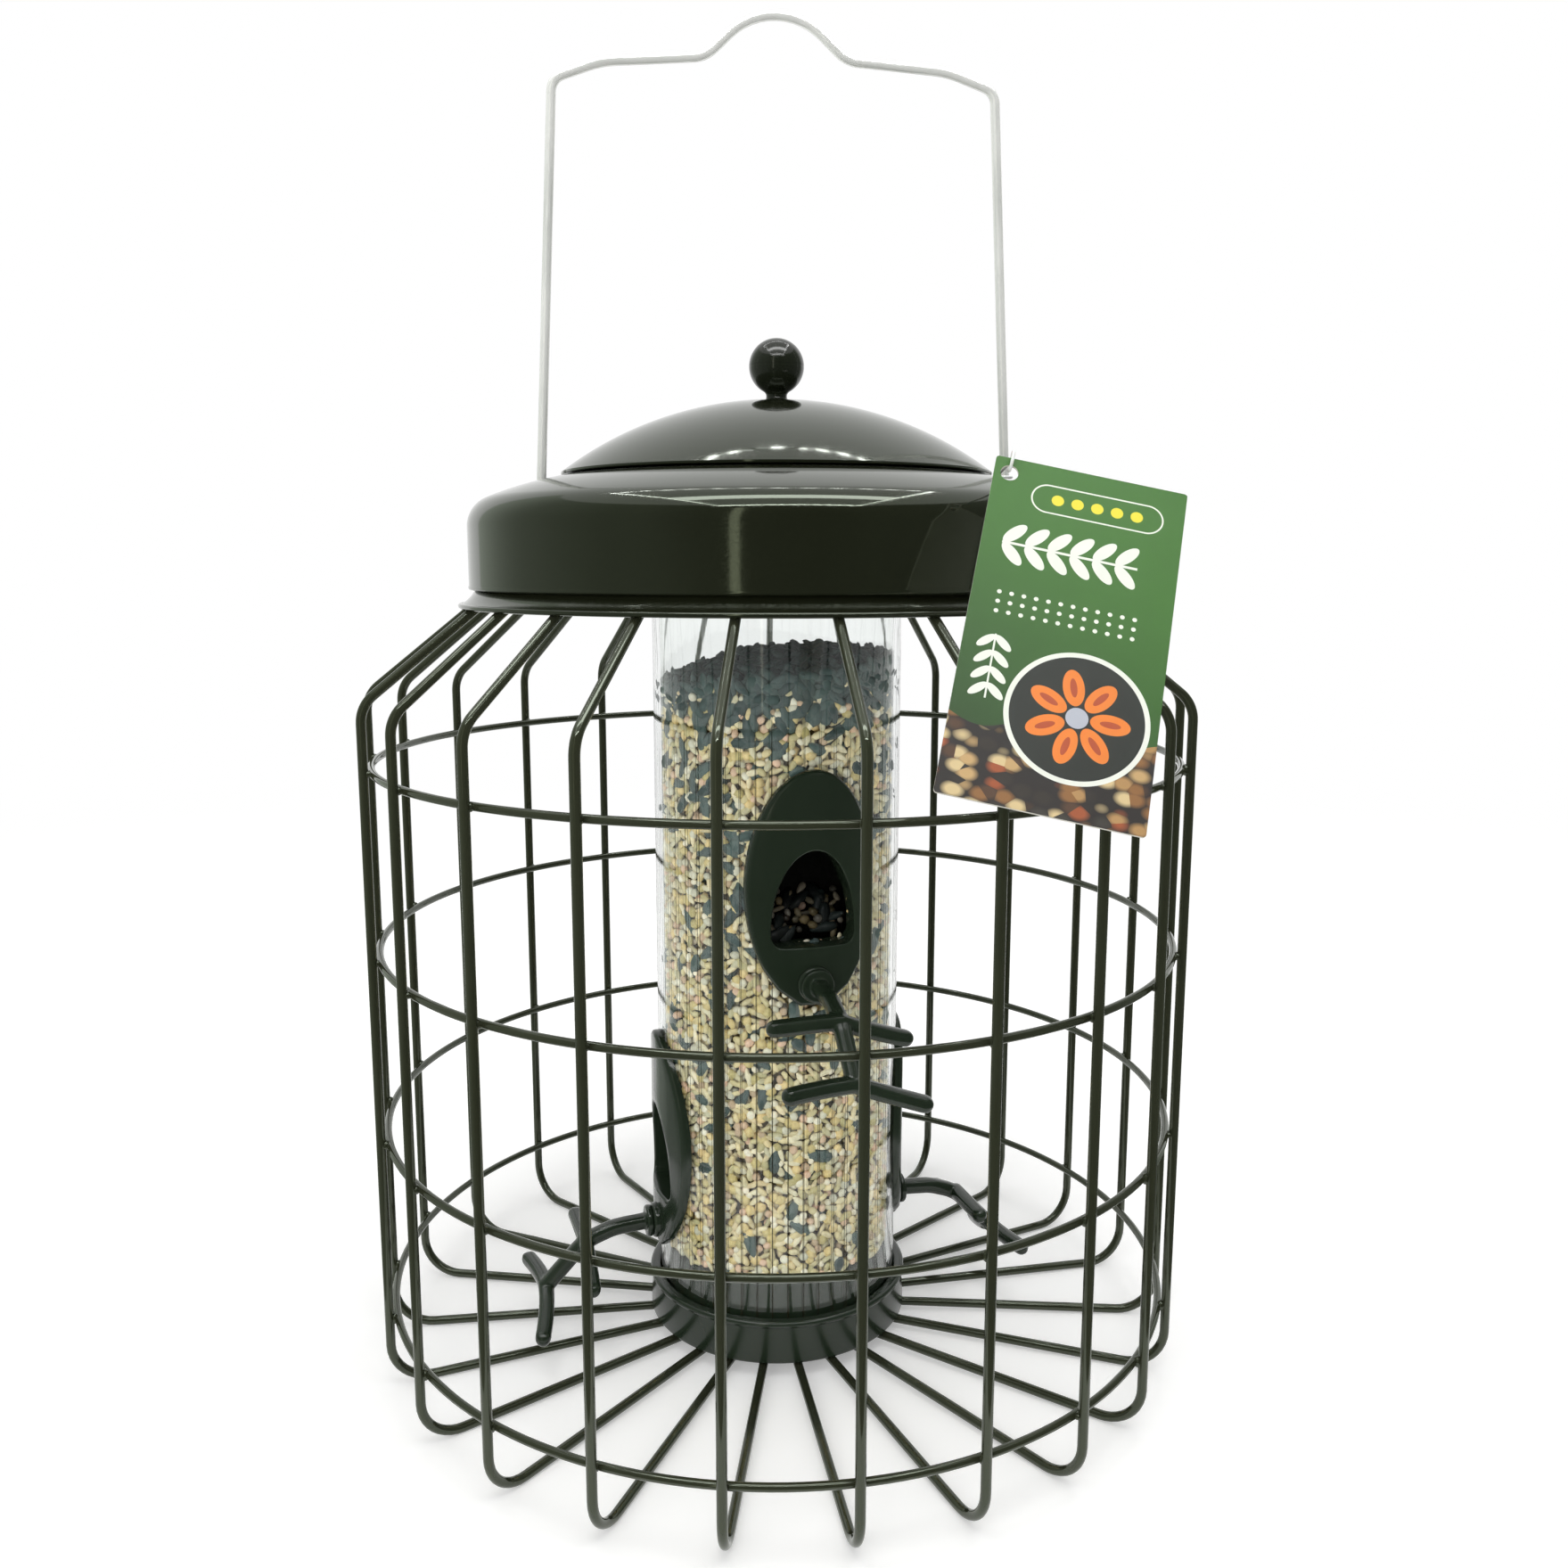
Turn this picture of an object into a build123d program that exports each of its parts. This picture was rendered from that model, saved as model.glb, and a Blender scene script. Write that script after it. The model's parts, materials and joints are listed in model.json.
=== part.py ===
from build123d import *
import math
import os

os.makedirs("parts", exist_ok=True)

# A squirrel proof bird feeder: a clear seed tube inside a welded wire cage, with four
# ports and perches, a sliding lid on a wire bail, and a card tag.
# Millimetres, +Z up. The origin is on the surface that the feeder stands on, at the
# centre of the cage. The bail lies in the XZ plane and the front is towards -Y.
# An azimuth is an angle in degrees from -Y towards +X.

# Cage wires
wire_count = 23
wire_d = 2.8
cage_radius = 123.6
wire_azimuth = 4.4
u_bend_radius = 12.0
shoulder_slope = 39.0
shoulder_bend_radius = 10.0
seat_bend_radius = 8.0
seat_inset = 7.5
seat_length = 6.5
spoke_end_radius = 14.0

# Cage rings
ring_wire_d = 2.3
ring_count = 4
ring_first_height = 21.5
ring_last_drop = 18.9

# Collar and its floor
collar_wall_radius = 89.0
collar_sheet = 0.8
collar_flare_radius = 9.0
collar_lip_radius = 94.3
floor_height = 240.0
floor_sheet = 1.0
tube_hole_clearance = 0.3

# Lid
skirt_radius = 91.6
skirt_drop = 4.0
lid_sheet = 0.8
shoulder_radius = 9.0
shoulder_rise = 14.0
crown_slope = 22.0
crown_radius = 111.0
crown_flat_radius = 58.0
lid_rest_gap = 0.3
dome_rim_radius = 64.2
dome_rise = 21.5
dome_gap = 0.5
dome_hem = 0.8
lid_travel = 60.0

# Knob and its screw
knob_radius = 8.2
knob_neck_radius = 3.6
knob_lift = 9.9
spacer_radius = 5.0
screw_radius = 2.0
screw_clearance = 0.2
thread_clearance = 0.05
screw_engagement = 8.0
screw_head_radius = 4.0
screw_head_height = 2.4
washer_radius = 7.0
washer_thickness = 1.0

# Bail
bail_wire_d = 2.8
bail_foot_x = 71.5
bail_corner_x = 64.2
bail_rise = 139.8
bail_bow_x = 50.0
bail_bow_rise = 5.0
bail_valley_x = 20.4
bail_valley_rise = 7.1
bail_peak_rise = 26.1
bail_corner_radius = 5.0
bail_bow_radius = 30.0
bail_valley_radius = 10.0
bail_peak_radius = 20.0
bail_hook_length = 9.5
bail_hook_radius = 3.0
bail_hook_drop = 3.3
bail_clearance = 0.35

# Tube, base and hub
tube_radius = 38.0
tube_wall = 2.0
tube_stand = 10.0
hub_radius = 30.0
hub_thickness = 1.6
cup_rim_height = 4.3
cup_rim_radius = 41.3
cup_lip_height = 18.0
cup_wall = 2.2
cup_floor_height = 8.0
cup_floor_thickness = 2.0
cup_bead_radius = 1.1
cup_boss_radius = 10.0
socket_clearance = 0.2
bolt_radius = 2.5
bolt_clearance = 0.2
bolt_head_radius = 4.8
bolt_tail = 2.0
nut_flats = 8.0
nut_height = 4.0
cone_rim_height = 28.5
cone_rise = 16.0
cone_clearance = 0.4
cone_wall = 1.6
cone_tip_radius = 3.0

# Ports
port_azimuth = 11.0
port_upper_height = 150.6
port_lower_height = 64.0
cover_half_width = 19.5
cover_half_height = 35.1
cover_thickness = 2.3
cover_bevel = 0.8
cover_clearance = 0.05
mouth_half_width = 12.6
mouth_top = 11.6
mouth_bottom = 16.6
mouth_shoulder = 4.2
mouth_corner_radius = 3.4
throat_wall = 1.2
throat_depth = 5.0
throat_clearance = 0.2
hood_wall = 1.4
hood_depth = 13.0
hood_cut_height = 2.0
boss_drop = 27.6
boss_radius = 5.4
boss_proud = 1.4

# Perches
peg_radius = 2.5
peg_clearance = 0.05
peg_hole_clearance = 0.2
peg_inside = 2.5
root_radius = 5.0
root_thickness = 2.0
stem_radius = 2.6
twig_radius = 2.2
twig_reach = 19.0
stem_knee_out = 12.0
stem_knee_drop = 0.8
stem_bend_out = 21.3
stem_bend_drop = 4.0
stem_end_out = 34.0
stem_end_drop = 17.4
stem_bend_radius = 18.0
twig_sweep = 0.5
left_twig_droop = 0.2
right_twig_droop = 6.5
tip_sweep = 3.2
left_tip_droop = 0.2
right_tip_droop = 6.5

# Seed
seed_clearance = 0.4
seed_headroom = 32.0
seed_mound = 8.0
pocket_depth = 17.0
pocket_margin = 2.5

# Card tag and its tie
tag_width = 47.0
tag_length = 91.0
tag_thickness = 0.6
tag_corner_radius = 0.8
tag_hole_radius = 2.2
tag_hole_side = 3.8
tag_hole_drop = 4.4
tag_azimuth = -2.0
tag_roll = 14.0
tag_across = 51.8
tag_hole_rise = 11.0
tag_gap = 0.5
tie_radius = 0.4
tie_leg_clearance = 0.25
tie_hole_clearance = 0.3
tie_rest_gap = 0.5
tie_eye_radius = 2.4

# One overrun serves every cut that passes right through a piece
overrun = 5.0

wire_r = wire_d / 2
ring_r = ring_wire_d / 2
bail_r = bail_wire_d / 2


def outward(azimuth):
    """Unit vector that points away from the axis at an azimuth."""
    turn = math.radians(azimuth)
    return Vector(math.sin(turn), -math.cos(turn), 0)


def radial_plane(azimuth):
    """Plane through the axis: its X points outward and its Y points up."""
    out = outward(azimuth)
    return Plane(origin=(0, 0, 0), x_dir=out, z_dir=out.cross(Vector(0, 0, 1)))


def facing_plane(azimuth, radius, height):
    """Plane that faces outward at a radius: its Y points up."""
    out = outward(azimuth)
    return Plane(
        origin=out * radius + Vector(0, 0, height),
        x_dir=Vector(0, 0, 1).cross(out),
        z_dir=out,
    )


def finish(node, name):
    """Give a finished piece its name and write it."""
    node.part.label = name
    export_step(node.part, f"parts/{name}.step")


# The cage: upright wires that turn in at the foot to become spokes, and in at the
# shoulder to reach the collar's floor. Every wire has the same shape.
rim_height = hub_thickness + wire_r
bend_centre_r = cage_radius - u_bend_radius
bend_centre_z = u_bend_radius + wire_r
spoke_reach = math.hypot(bend_centre_r - hub_radius, bend_centre_z - rim_height)
spoke_angle = math.atan2(bend_centre_z - rim_height, bend_centre_r - hub_radius)
spoke_fall = math.tan(math.asin(u_bend_radius / spoke_reach) - spoke_angle)
spoke_height = rim_height + (hub_radius - spoke_end_radius) * spoke_fall
foot_corner_z = rim_height - (cage_radius - hub_radius) * spoke_fall
seat_run_z = floor_height - wire_r
seat_corner_r = collar_wall_radius - seat_inset
slope_tan = math.tan(math.radians(shoulder_slope))
shoulder_height = seat_run_z - (cage_radius - seat_corner_r) * slope_tan

for index in range(wire_count):
    azimuth = wire_azimuth + index * 360 / wire_count
    with BuildPart() as cage_wire:
        with BuildLine(radial_plane(azimuth)) as run:
            FilletPolyline(
                (spoke_end_radius, spoke_height),
                (cage_radius, foot_corner_z),
                (cage_radius, shoulder_height),
                (seat_corner_r, seat_run_z),
                (seat_corner_r - seat_length, seat_run_z),
                radius=[u_bend_radius, shoulder_bend_radius, seat_bend_radius],
            )
        with BuildSketch(Plane(origin=run.line @ 0, z_dir=run.line % 0)):
            Circle(wire_r)
        sweep()
    finish(cage_wire, f"cage_wire_{index + 1:02d}")

# Four rings, welded to the inner side of the wires.
ring_radius = cage_radius - wire_r - ring_r
ring_pitch = (shoulder_height - ring_last_drop - ring_first_height) / (ring_count - 1)
for index in range(ring_count):
    height = ring_first_height + index * ring_pitch
    with BuildPart(Plane.XY.offset(height)) as cage_ring:
        Torus(ring_radius, ring_r)
    finish(cage_ring, f"cage_ring_{index + 1}")

# The spokes' inner ends are welded to this disc, whose underside is the flat foot.
with BuildPart() as hub_plate:
    with BuildSketch(Plane.XY):
        Circle(hub_radius)
    extrude(amount=hub_thickness)
    with BuildSketch(Plane.XY.offset(hub_thickness)):
        Circle(bolt_radius + bolt_clearance)
    extrude(amount=-hub_thickness, mode=Mode.SUBTRACT)
    with BuildSketch(Plane.XZ):
        Polygon(
            (0, 0),
            (bolt_head_radius + bolt_clearance, 0),
            (bolt_radius + bolt_clearance, hub_thickness),
            (0, hub_thickness),
            align=None,
        )
    revolve(axis=Axis.Z, mode=Mode.SUBTRACT)
finish(hub_plate, "hub_plate")

# The lid shell's outline, worked out first because the collar's wall carries it.
crown_turn = math.radians(crown_slope)
skirt_bottom = floor_height - skirt_drop
shoulder_centre_height = floor_height + shoulder_rise
shoulder_centre_r = skirt_radius - shoulder_radius
crown_centre_r = shoulder_centre_r - (crown_radius - shoulder_radius) * math.sin(crown_turn)
crown_centre_z = shoulder_centre_height - (crown_radius - shoulder_radius) * math.cos(crown_turn)
flat_turn = math.asin((crown_flat_radius - crown_centre_r) / crown_radius)


def on_shoulder(radius, turn):
    """Point of the shell's shoulder arc, at a turn from straight up."""
    return (
        shoulder_centre_r + radius * math.sin(turn),
        shoulder_centre_height + radius * math.cos(turn),
    )


def on_crown(radius, turn):
    """Point of the shell's crown arc, at a turn from straight up."""
    return (crown_centre_r + radius * math.sin(turn), crown_centre_z + radius * math.cos(turn))


def crown_height(radius):
    """Height of the shell's outer face at a distance from the axis."""
    return crown_centre_z + math.sqrt(crown_radius**2 - (radius - crown_centre_r) ** 2)


shell_flat_top = on_crown(crown_radius, flat_turn)[1]
shell_flat_under = on_crown(crown_radius - lid_sheet, flat_turn)[1]

# The collar: an upright wall inside the lid's skirt that flares out to a lip. The lid
# rests on the wall's top edge.
inner_shoulder = shoulder_radius - lid_sheet
wall_turn = math.asin((collar_wall_radius - shoulder_centre_r) / inner_shoulder)
collar_top = shoulder_centre_height + inner_shoulder * math.cos(wall_turn) - lid_rest_gap
flare_centre_r = collar_wall_radius + collar_flare_radius
flare_turn = math.acos((flare_centre_r - collar_lip_radius) / collar_flare_radius)


def on_flare(radius, turn):
    """Point of the collar's flare, at a turn down from the wall."""
    return (flare_centre_r - radius * math.cos(turn), floor_height - radius * math.sin(turn))


inner_flare = collar_flare_radius + collar_sheet
with BuildPart() as cage_collar:
    with BuildSketch(Plane.XZ):
        with BuildLine():
            Line((collar_wall_radius, collar_top), on_flare(collar_flare_radius, 0))
            ThreePointArc(
                on_flare(collar_flare_radius, 0),
                on_flare(collar_flare_radius, flare_turn / 2),
                on_flare(collar_flare_radius, flare_turn),
            )
            Line(on_flare(collar_flare_radius, flare_turn), on_flare(inner_flare, flare_turn))
            ThreePointArc(
                on_flare(inner_flare, flare_turn),
                on_flare(inner_flare, flare_turn / 2),
                on_flare(inner_flare, 0),
            )
            Polyline(
                on_flare(inner_flare, 0),
                (collar_wall_radius - collar_sheet, collar_top),
                (collar_wall_radius, collar_top),
            )
        make_face()
    revolve(axis=Axis.Z)
finish(cage_collar, "cage_collar")

# The bail's leg leans in from its foot to the corner at the top.
bail_corner_height = floor_height + bail_rise
leg_lean = (bail_foot_x - bail_corner_x) / bail_rise


def leg_x(height):
    """Distance of the leg's centre line from the axis at a height."""
    return bail_foot_x - (height - floor_height) * leg_lean


# The collar's floor centres the tube, and the wires and the bail end on it.
with BuildPart() as collar_floor:
    with BuildSketch(Plane.XY.offset(floor_height)):
        Circle(collar_wall_radius - collar_sheet)
        Circle(tube_radius + tube_hole_clearance, mode=Mode.SUBTRACT)
        with Locations((bail_foot_x, 0), (-bail_foot_x, 0)):
            Circle(bail_r + bail_clearance, mode=Mode.SUBTRACT)
    extrude(amount=floor_sheet)
finish(collar_floor, "collar_floor")

# The bail: one bright wire, hooked under the collar's floor at both ends.
hook_z = floor_height - bail_hook_drop
hook_x = leg_x(hook_z)
right_half = [
    (hook_x - bail_hook_length, hook_z),
    (hook_x, hook_z),
    (bail_corner_x, bail_corner_height),
    (bail_bow_x, bail_corner_height + bail_bow_rise),
    (bail_valley_x, bail_corner_height + bail_valley_rise),
]
bail_points = [(-x, z) for x, z in right_half]
bail_points.append((0, bail_corner_height + bail_peak_rise))
bail_points.extend(reversed(right_half))
half_radii = [bail_hook_radius, bail_corner_radius, bail_bow_radius, bail_valley_radius]
with BuildPart() as bail_handle:
    with BuildLine(Plane.XZ) as bail_run:
        FilletPolyline(*bail_points, radius=half_radii + [bail_peak_radius] + half_radii[::-1])
    with BuildSketch(Plane(origin=bail_run.line @ 0, z_dir=bail_run.line % 0)):
        Circle(bail_r)
    sweep()
finish(bail_handle, "bail_handle")

# The lid's outer shell: a skirt, a rounded shoulder and a low crown, with a slot for
# each of the bail's legs. The slots are long because the legs lean in.
slot_outer = leg_x(crown_height(bail_foot_x)) + bail_r + bail_clearance
slot_inner = leg_x(crown_height(bail_foot_x) + lid_travel) - bail_r - bail_clearance
slot_middle = (slot_outer + slot_inner) / 2
with BuildPart() as lid_shell:
    with BuildSketch(Plane.XZ):
        with BuildLine():
            Line((skirt_radius, skirt_bottom), on_shoulder(shoulder_radius, math.pi / 2))
            ThreePointArc(
                on_shoulder(shoulder_radius, math.pi / 2),
                on_shoulder(shoulder_radius, (math.pi / 2 + crown_turn) / 2),
                on_shoulder(shoulder_radius, crown_turn),
            )
            ThreePointArc(
                on_crown(crown_radius, crown_turn),
                on_crown(crown_radius, (crown_turn + flat_turn) / 2),
                on_crown(crown_radius, flat_turn),
            )
            Polyline(
                on_crown(crown_radius, flat_turn),
                (screw_radius + screw_clearance, shell_flat_top),
                (screw_radius + screw_clearance, shell_flat_under),
                on_crown(crown_radius - lid_sheet, flat_turn),
            )
            ThreePointArc(
                on_crown(crown_radius - lid_sheet, flat_turn),
                on_crown(crown_radius - lid_sheet, (crown_turn + flat_turn) / 2),
                on_crown(crown_radius - lid_sheet, crown_turn),
            )
            ThreePointArc(
                on_shoulder(inner_shoulder, crown_turn),
                on_shoulder(inner_shoulder, (math.pi / 2 + crown_turn) / 2),
                on_shoulder(inner_shoulder, math.pi / 2),
            )
            Polyline(
                on_shoulder(inner_shoulder, math.pi / 2),
                (skirt_radius - lid_sheet, skirt_bottom),
                (skirt_radius, skirt_bottom),
            )
        make_face()
    revolve(axis=Axis.Z)
    with BuildSketch(Plane.XY.offset(shoulder_centre_height)):
        with Locations((slot_middle, 0), (-slot_middle, 0)):
            SlotOverall(slot_outer - slot_inner, bail_wire_d + bail_clearance * 2)
    extrude(amount=shell_flat_top - shoulder_centre_height + overrun, mode=Mode.SUBTRACT)
finish(lid_shell, "lid_shell")

# The dome: a shallow cap that stands just clear of the shell, with a short hem.
dome_radius = (dome_rim_radius**2 + dome_rise**2) / (dome_rise * 2)
dome_rim_z = crown_height(dome_rim_radius) + dome_gap + dome_hem
dome_top = dome_rim_z + dome_rise
dome_centre_z = dome_top - dome_radius
rim_turn = math.asin(dome_rim_radius / dome_radius)
inner_dome = dome_radius - lid_sheet
inner_rim_turn = math.asin((dome_rim_radius - lid_sheet) / inner_dome)
hole_turn = math.asin((screw_radius + screw_clearance) / dome_radius)
inner_hole_turn = math.asin((screw_radius + screw_clearance) / inner_dome)


def on_dome(radius, turn):
    """Point of the dome's arc, at a turn from straight up."""
    return (radius * math.sin(turn), dome_centre_z + radius * math.cos(turn))


with BuildPart() as lid_dome:
    with BuildSketch(Plane.XZ):
        with BuildLine():
            ThreePointArc(
                on_dome(dome_radius, hole_turn),
                on_dome(dome_radius, (hole_turn + rim_turn) / 2),
                on_dome(dome_radius, rim_turn),
            )
            Polyline(
                on_dome(dome_radius, rim_turn),
                (dome_rim_radius, dome_rim_z - dome_hem),
                (dome_rim_radius - lid_sheet, dome_rim_z - dome_hem),
                on_dome(inner_dome, inner_rim_turn),
            )
            ThreePointArc(
                on_dome(inner_dome, inner_rim_turn),
                on_dome(inner_dome, (inner_hole_turn + inner_rim_turn) / 2),
                on_dome(inner_dome, inner_hole_turn),
            )
            Line(on_dome(inner_dome, inner_hole_turn), on_dome(dome_radius, hole_turn))
        make_face()
    revolve(axis=Axis.Z)
finish(lid_dome, "lid_dome")

# A sleeve holds the dome up off the shell, where the knob's screw clamps them.
spacer_top = on_dome(inner_dome, math.asin(spacer_radius / inner_dome))[1]
with BuildPart() as lid_spacer:
    with BuildSketch(Plane.XY.offset(shell_flat_top)):
        Circle(spacer_radius)
        Circle(screw_radius + screw_clearance, mode=Mode.SUBTRACT)
    extrude(amount=spacer_top - shell_flat_top)
finish(lid_spacer, "lid_spacer")

# The knob: a ball that narrows to a neck.
knob_seat = on_dome(dome_radius, math.asin(knob_neck_radius / dome_radius))[1]
knob_seat = max(knob_seat, on_dome(dome_radius, hole_turn)[1])
knob_centre = dome_top + knob_lift
cone_turn = math.acos(knob_neck_radius / knob_radius) / 2 + math.pi / 4
tangent_r = knob_radius * math.sin(cone_turn)
tangent_z = knob_centre - knob_radius * math.cos(cone_turn)
with BuildPart() as lid_knob:
    with BuildSketch(Plane.XZ):
        with BuildLine():
            ThreePointArc(
                (0, knob_centre + knob_radius),
                (knob_radius, knob_centre),
                (tangent_r, tangent_z),
            )
            Polyline(
                (tangent_r, tangent_z),
                (knob_neck_radius, knob_seat + knob_neck_radius / 2),
                (knob_neck_radius, knob_seat),
                (0, knob_seat),
                (0, knob_centre + knob_radius),
            )
        make_face()
    revolve(axis=Axis.Z)
    with BuildSketch(Plane.XY.offset(knob_seat)):
        Circle(screw_radius + thread_clearance)
    extrude(amount=screw_engagement + thread_clearance, mode=Mode.SUBTRACT)
finish(lid_knob, "lid_knob")

# The screw comes up from under the shell, with a washer below it.
with BuildPart() as lid_washer:
    with BuildSketch(Plane.XY.offset(shell_flat_under)):
        Circle(washer_radius)
        Circle(screw_radius + screw_clearance, mode=Mode.SUBTRACT)
    extrude(amount=-washer_thickness)
finish(lid_washer, "lid_washer")

screw_seat = shell_flat_under - washer_thickness
with BuildPart() as knob_screw:
    with BuildSketch(Plane.XY.offset(screw_seat)):
        Circle(screw_radius)
    extrude(amount=knob_seat + screw_engagement - screw_seat)
    with BuildSketch(Plane.XY.offset(screw_seat)):
        Circle(screw_head_radius)
    extrude(amount=-screw_head_height)
    fillet(knob_screw.edges().sort_by(Axis.Z)[0], screw_head_height / 3)
finish(knob_screw, "knob_screw")

# The base cup: a socket for the tube with a beaded lip, a flared skirt and a boss
# that stands on the hub plate between the spokes.
socket_radius = tube_radius + socket_clearance
lip_radius = socket_radius + cup_wall
cup_floor_top = cup_floor_height + cup_floor_thickness
bead_z = cup_lip_height - cup_bead_radius
with BuildPart() as base_cup:
    with BuildSketch(Plane.XZ):
        Polygon(
            (0, hub_thickness),
            (cup_boss_radius, hub_thickness),
            (cup_boss_radius, cup_floor_height),
            (cup_rim_radius - cup_wall, cup_floor_height),
            (cup_rim_radius - cup_wall, cup_rim_height),
            (cup_rim_radius, cup_rim_height),
            (lip_radius, bead_z),
            (lip_radius, cup_lip_height),
            (socket_radius, cup_lip_height),
            (socket_radius, cup_floor_top),
            (0, cup_floor_top),
            align=None,
        )
    revolve(axis=Axis.Z)
    with BuildSketch(Plane.XZ):
        with Locations((lip_radius, bead_z)):
            Circle(cup_bead_radius)
    revolve(axis=Axis.Z)
    with BuildSketch(Plane.XY.offset(hub_thickness)):
        Circle(bolt_radius + bolt_clearance)
    extrude(amount=cup_floor_top - hub_thickness, mode=Mode.SUBTRACT)
finish(base_cup, "base_cup")

# A countersunk bolt holds the cup to the hub plate, with its nut inside the cone.
bolt_end = cup_floor_top + nut_height + bolt_tail
with BuildPart() as base_bolt:
    with BuildSketch(Plane.XZ):
        Polygon(
            (0, 0),
            (bolt_head_radius, 0),
            (bolt_radius, hub_thickness),
            (bolt_radius, bolt_end),
            (0, bolt_end),
            align=None,
        )
    revolve(axis=Axis.Z)
finish(base_bolt, "base_bolt")

with BuildPart() as base_nut:
    with BuildSketch(Plane.XY.offset(cup_floor_top)):
        RegularPolygon(nut_flats / 2, 6, major_radius=False)
        Circle(bolt_radius + thread_clearance, mode=Mode.SUBTRACT)
    extrude(amount=nut_height)
finish(base_nut, "base_nut")

# A hollow cone stands on the cup's floor and sheds the seed towards the lower ports.
tube_inner = tube_radius - tube_wall
cone_radius = tube_inner - cone_clearance
cone_top = cone_rim_height + cone_rise
with BuildPart() as seed_cone:
    with BuildSketch(Plane.XZ):
        Polygon(
            (cone_radius - cone_wall, cup_floor_top),
            (cone_radius, cup_floor_top),
            (cone_radius, cone_rim_height),
            (cone_tip_radius, cone_top),
            (0, cone_top),
            (0, cone_top - cone_wall),
            (cone_tip_radius, cone_top - cone_wall),
            (cone_radius - cone_wall, cone_rim_height - cone_wall),
            align=None,
        )
    revolve(axis=Axis.Z)
finish(seed_cone, "seed_cone")


def mouth_outline(margin=0):
    """Arch-shaped mouth of a port, widened all round by a margin."""
    half = mouth_half_width + margin
    spring = mouth_shoulder - mouth_bottom
    low = -mouth_bottom - margin
    with BuildSketch(Plane.XY) as outline:
        with BuildLine():
            EllipticalCenterArc((0, spring), half, mouth_top + margin - spring, arc_size=180)
            FilletPolyline(
                (-half, spring), (-half, low), (half, low), (half, spring), radius=mouth_corner_radius
            )
        make_face()
    return outline.sketch


mouth = mouth_outline()
throat_outline = mouth_outline(throat_wall)
tube_mouth = mouth_outline(throat_wall + throat_clearance)
hood_inside = mouth_outline(throat_wall + throat_clearance)
hood_outside = mouth_outline(throat_wall + throat_clearance + hood_wall)
pocket_outline = mouth_outline(throat_wall + throat_clearance + hood_wall + pocket_margin)

# Name, azimuth and height of each port
ports = [
    ("upper_front", port_azimuth, port_upper_height),
    ("upper_rear", port_azimuth + 180, port_upper_height),
    ("lower_left", port_azimuth - 90, port_lower_height),
    ("lower_right", port_azimuth + 90, port_lower_height),
]

# The clear tube, with a mouth and a peg hole for each port.
with BuildPart() as seed_tube:
    with BuildSketch(Plane.XY.offset(cup_floor_top)):
        Circle(tube_radius)
        Circle(tube_inner, mode=Mode.SUBTRACT)
    extrude(amount=floor_height + tube_stand - cup_floor_top)
    for name, azimuth, height in ports:
        with BuildSketch(facing_plane(azimuth, tube_inner / 2, height)):
            add(tube_mouth)
        extrude(amount=tube_radius, mode=Mode.SUBTRACT)
        with BuildSketch(facing_plane(azimuth, tube_inner / 2, height - boss_drop)):
            Circle(peg_radius + peg_hole_clearance)
        extrude(amount=tube_radius, mode=Mode.SUBTRACT)
finish(seed_tube, "seed_tube")

cover_inner = tube_radius + cover_clearance
cover_outer = cover_inner + cover_thickness
cover_middle = (cover_inner + cover_outer) / 2
boss_face = cover_outer + boss_proud
throat_start = tube_inner - throat_depth
for name, azimuth, height in ports:
    # The throat lines the mouth through the tube's wall.
    with BuildPart() as throat:
        with BuildSketch(facing_plane(azimuth, throat_start, height)):
            add(throat_outline)
        extrude(amount=tube_radius)
        with BuildSketch(Plane.XY.offset(height - cover_half_height)):
            Circle(cover_middle)
        extrude(amount=cover_half_height * 2, mode=Mode.INTERSECT)

    # The cover is an oval saddle that hugs the tube, with a boss for the perch.
    with BuildPart() as port_cover:
        with BuildSketch(Plane.XY.offset(height - cover_half_height - overrun)):
            Circle(cover_outer)
            Circle(cover_inner, mode=Mode.SUBTRACT)
        extrude(amount=(cover_half_height + overrun) * 2)
        with BuildSketch(facing_plane(azimuth, tube_inner / 2, height)):
            Ellipse(cover_half_width, cover_half_height)
        extrude(amount=tube_radius, mode=Mode.INTERSECT)
        rim = port_cover.faces().filter_by(GeomType.CYLINDER).sort_by(SortBy.AREA)[-1]
        chamfer(rim.edges(), cover_bevel)
        add(throat.part)
        with BuildSketch(facing_plane(azimuth, cover_middle, height - boss_drop)):
            Circle(boss_radius)
        extrude(amount=boss_face - cover_middle)
        with BuildSketch(facing_plane(azimuth, tube_inner / 2, height)):
            add(mouth)
        extrude(amount=tube_radius, mode=Mode.SUBTRACT)
        with BuildSketch(facing_plane(azimuth, tube_inner / 2, height - boss_drop)):
            Circle(peg_radius + peg_clearance)
        extrude(amount=tube_radius, mode=Mode.SUBTRACT)
    finish(port_cover, f"port_cover_{name}")

    # A hood inside the tube keeps the seed from spilling out through the mouth.
    hood_start = tube_inner - hood_depth
    with BuildPart() as port_hood:
        with BuildSketch(facing_plane(azimuth, hood_start, height)):
            add(hood_outside)
            add(hood_inside, mode=Mode.SUBTRACT)
        extrude(amount=hood_depth)
        with BuildSketch(Plane.XY.offset(height - hood_cut_height)):
            Circle(tube_inner - seed_clearance)
        extrude(amount=cover_half_height, mode=Mode.INTERSECT)
    finish(port_hood, f"port_hood_{name}")

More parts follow.
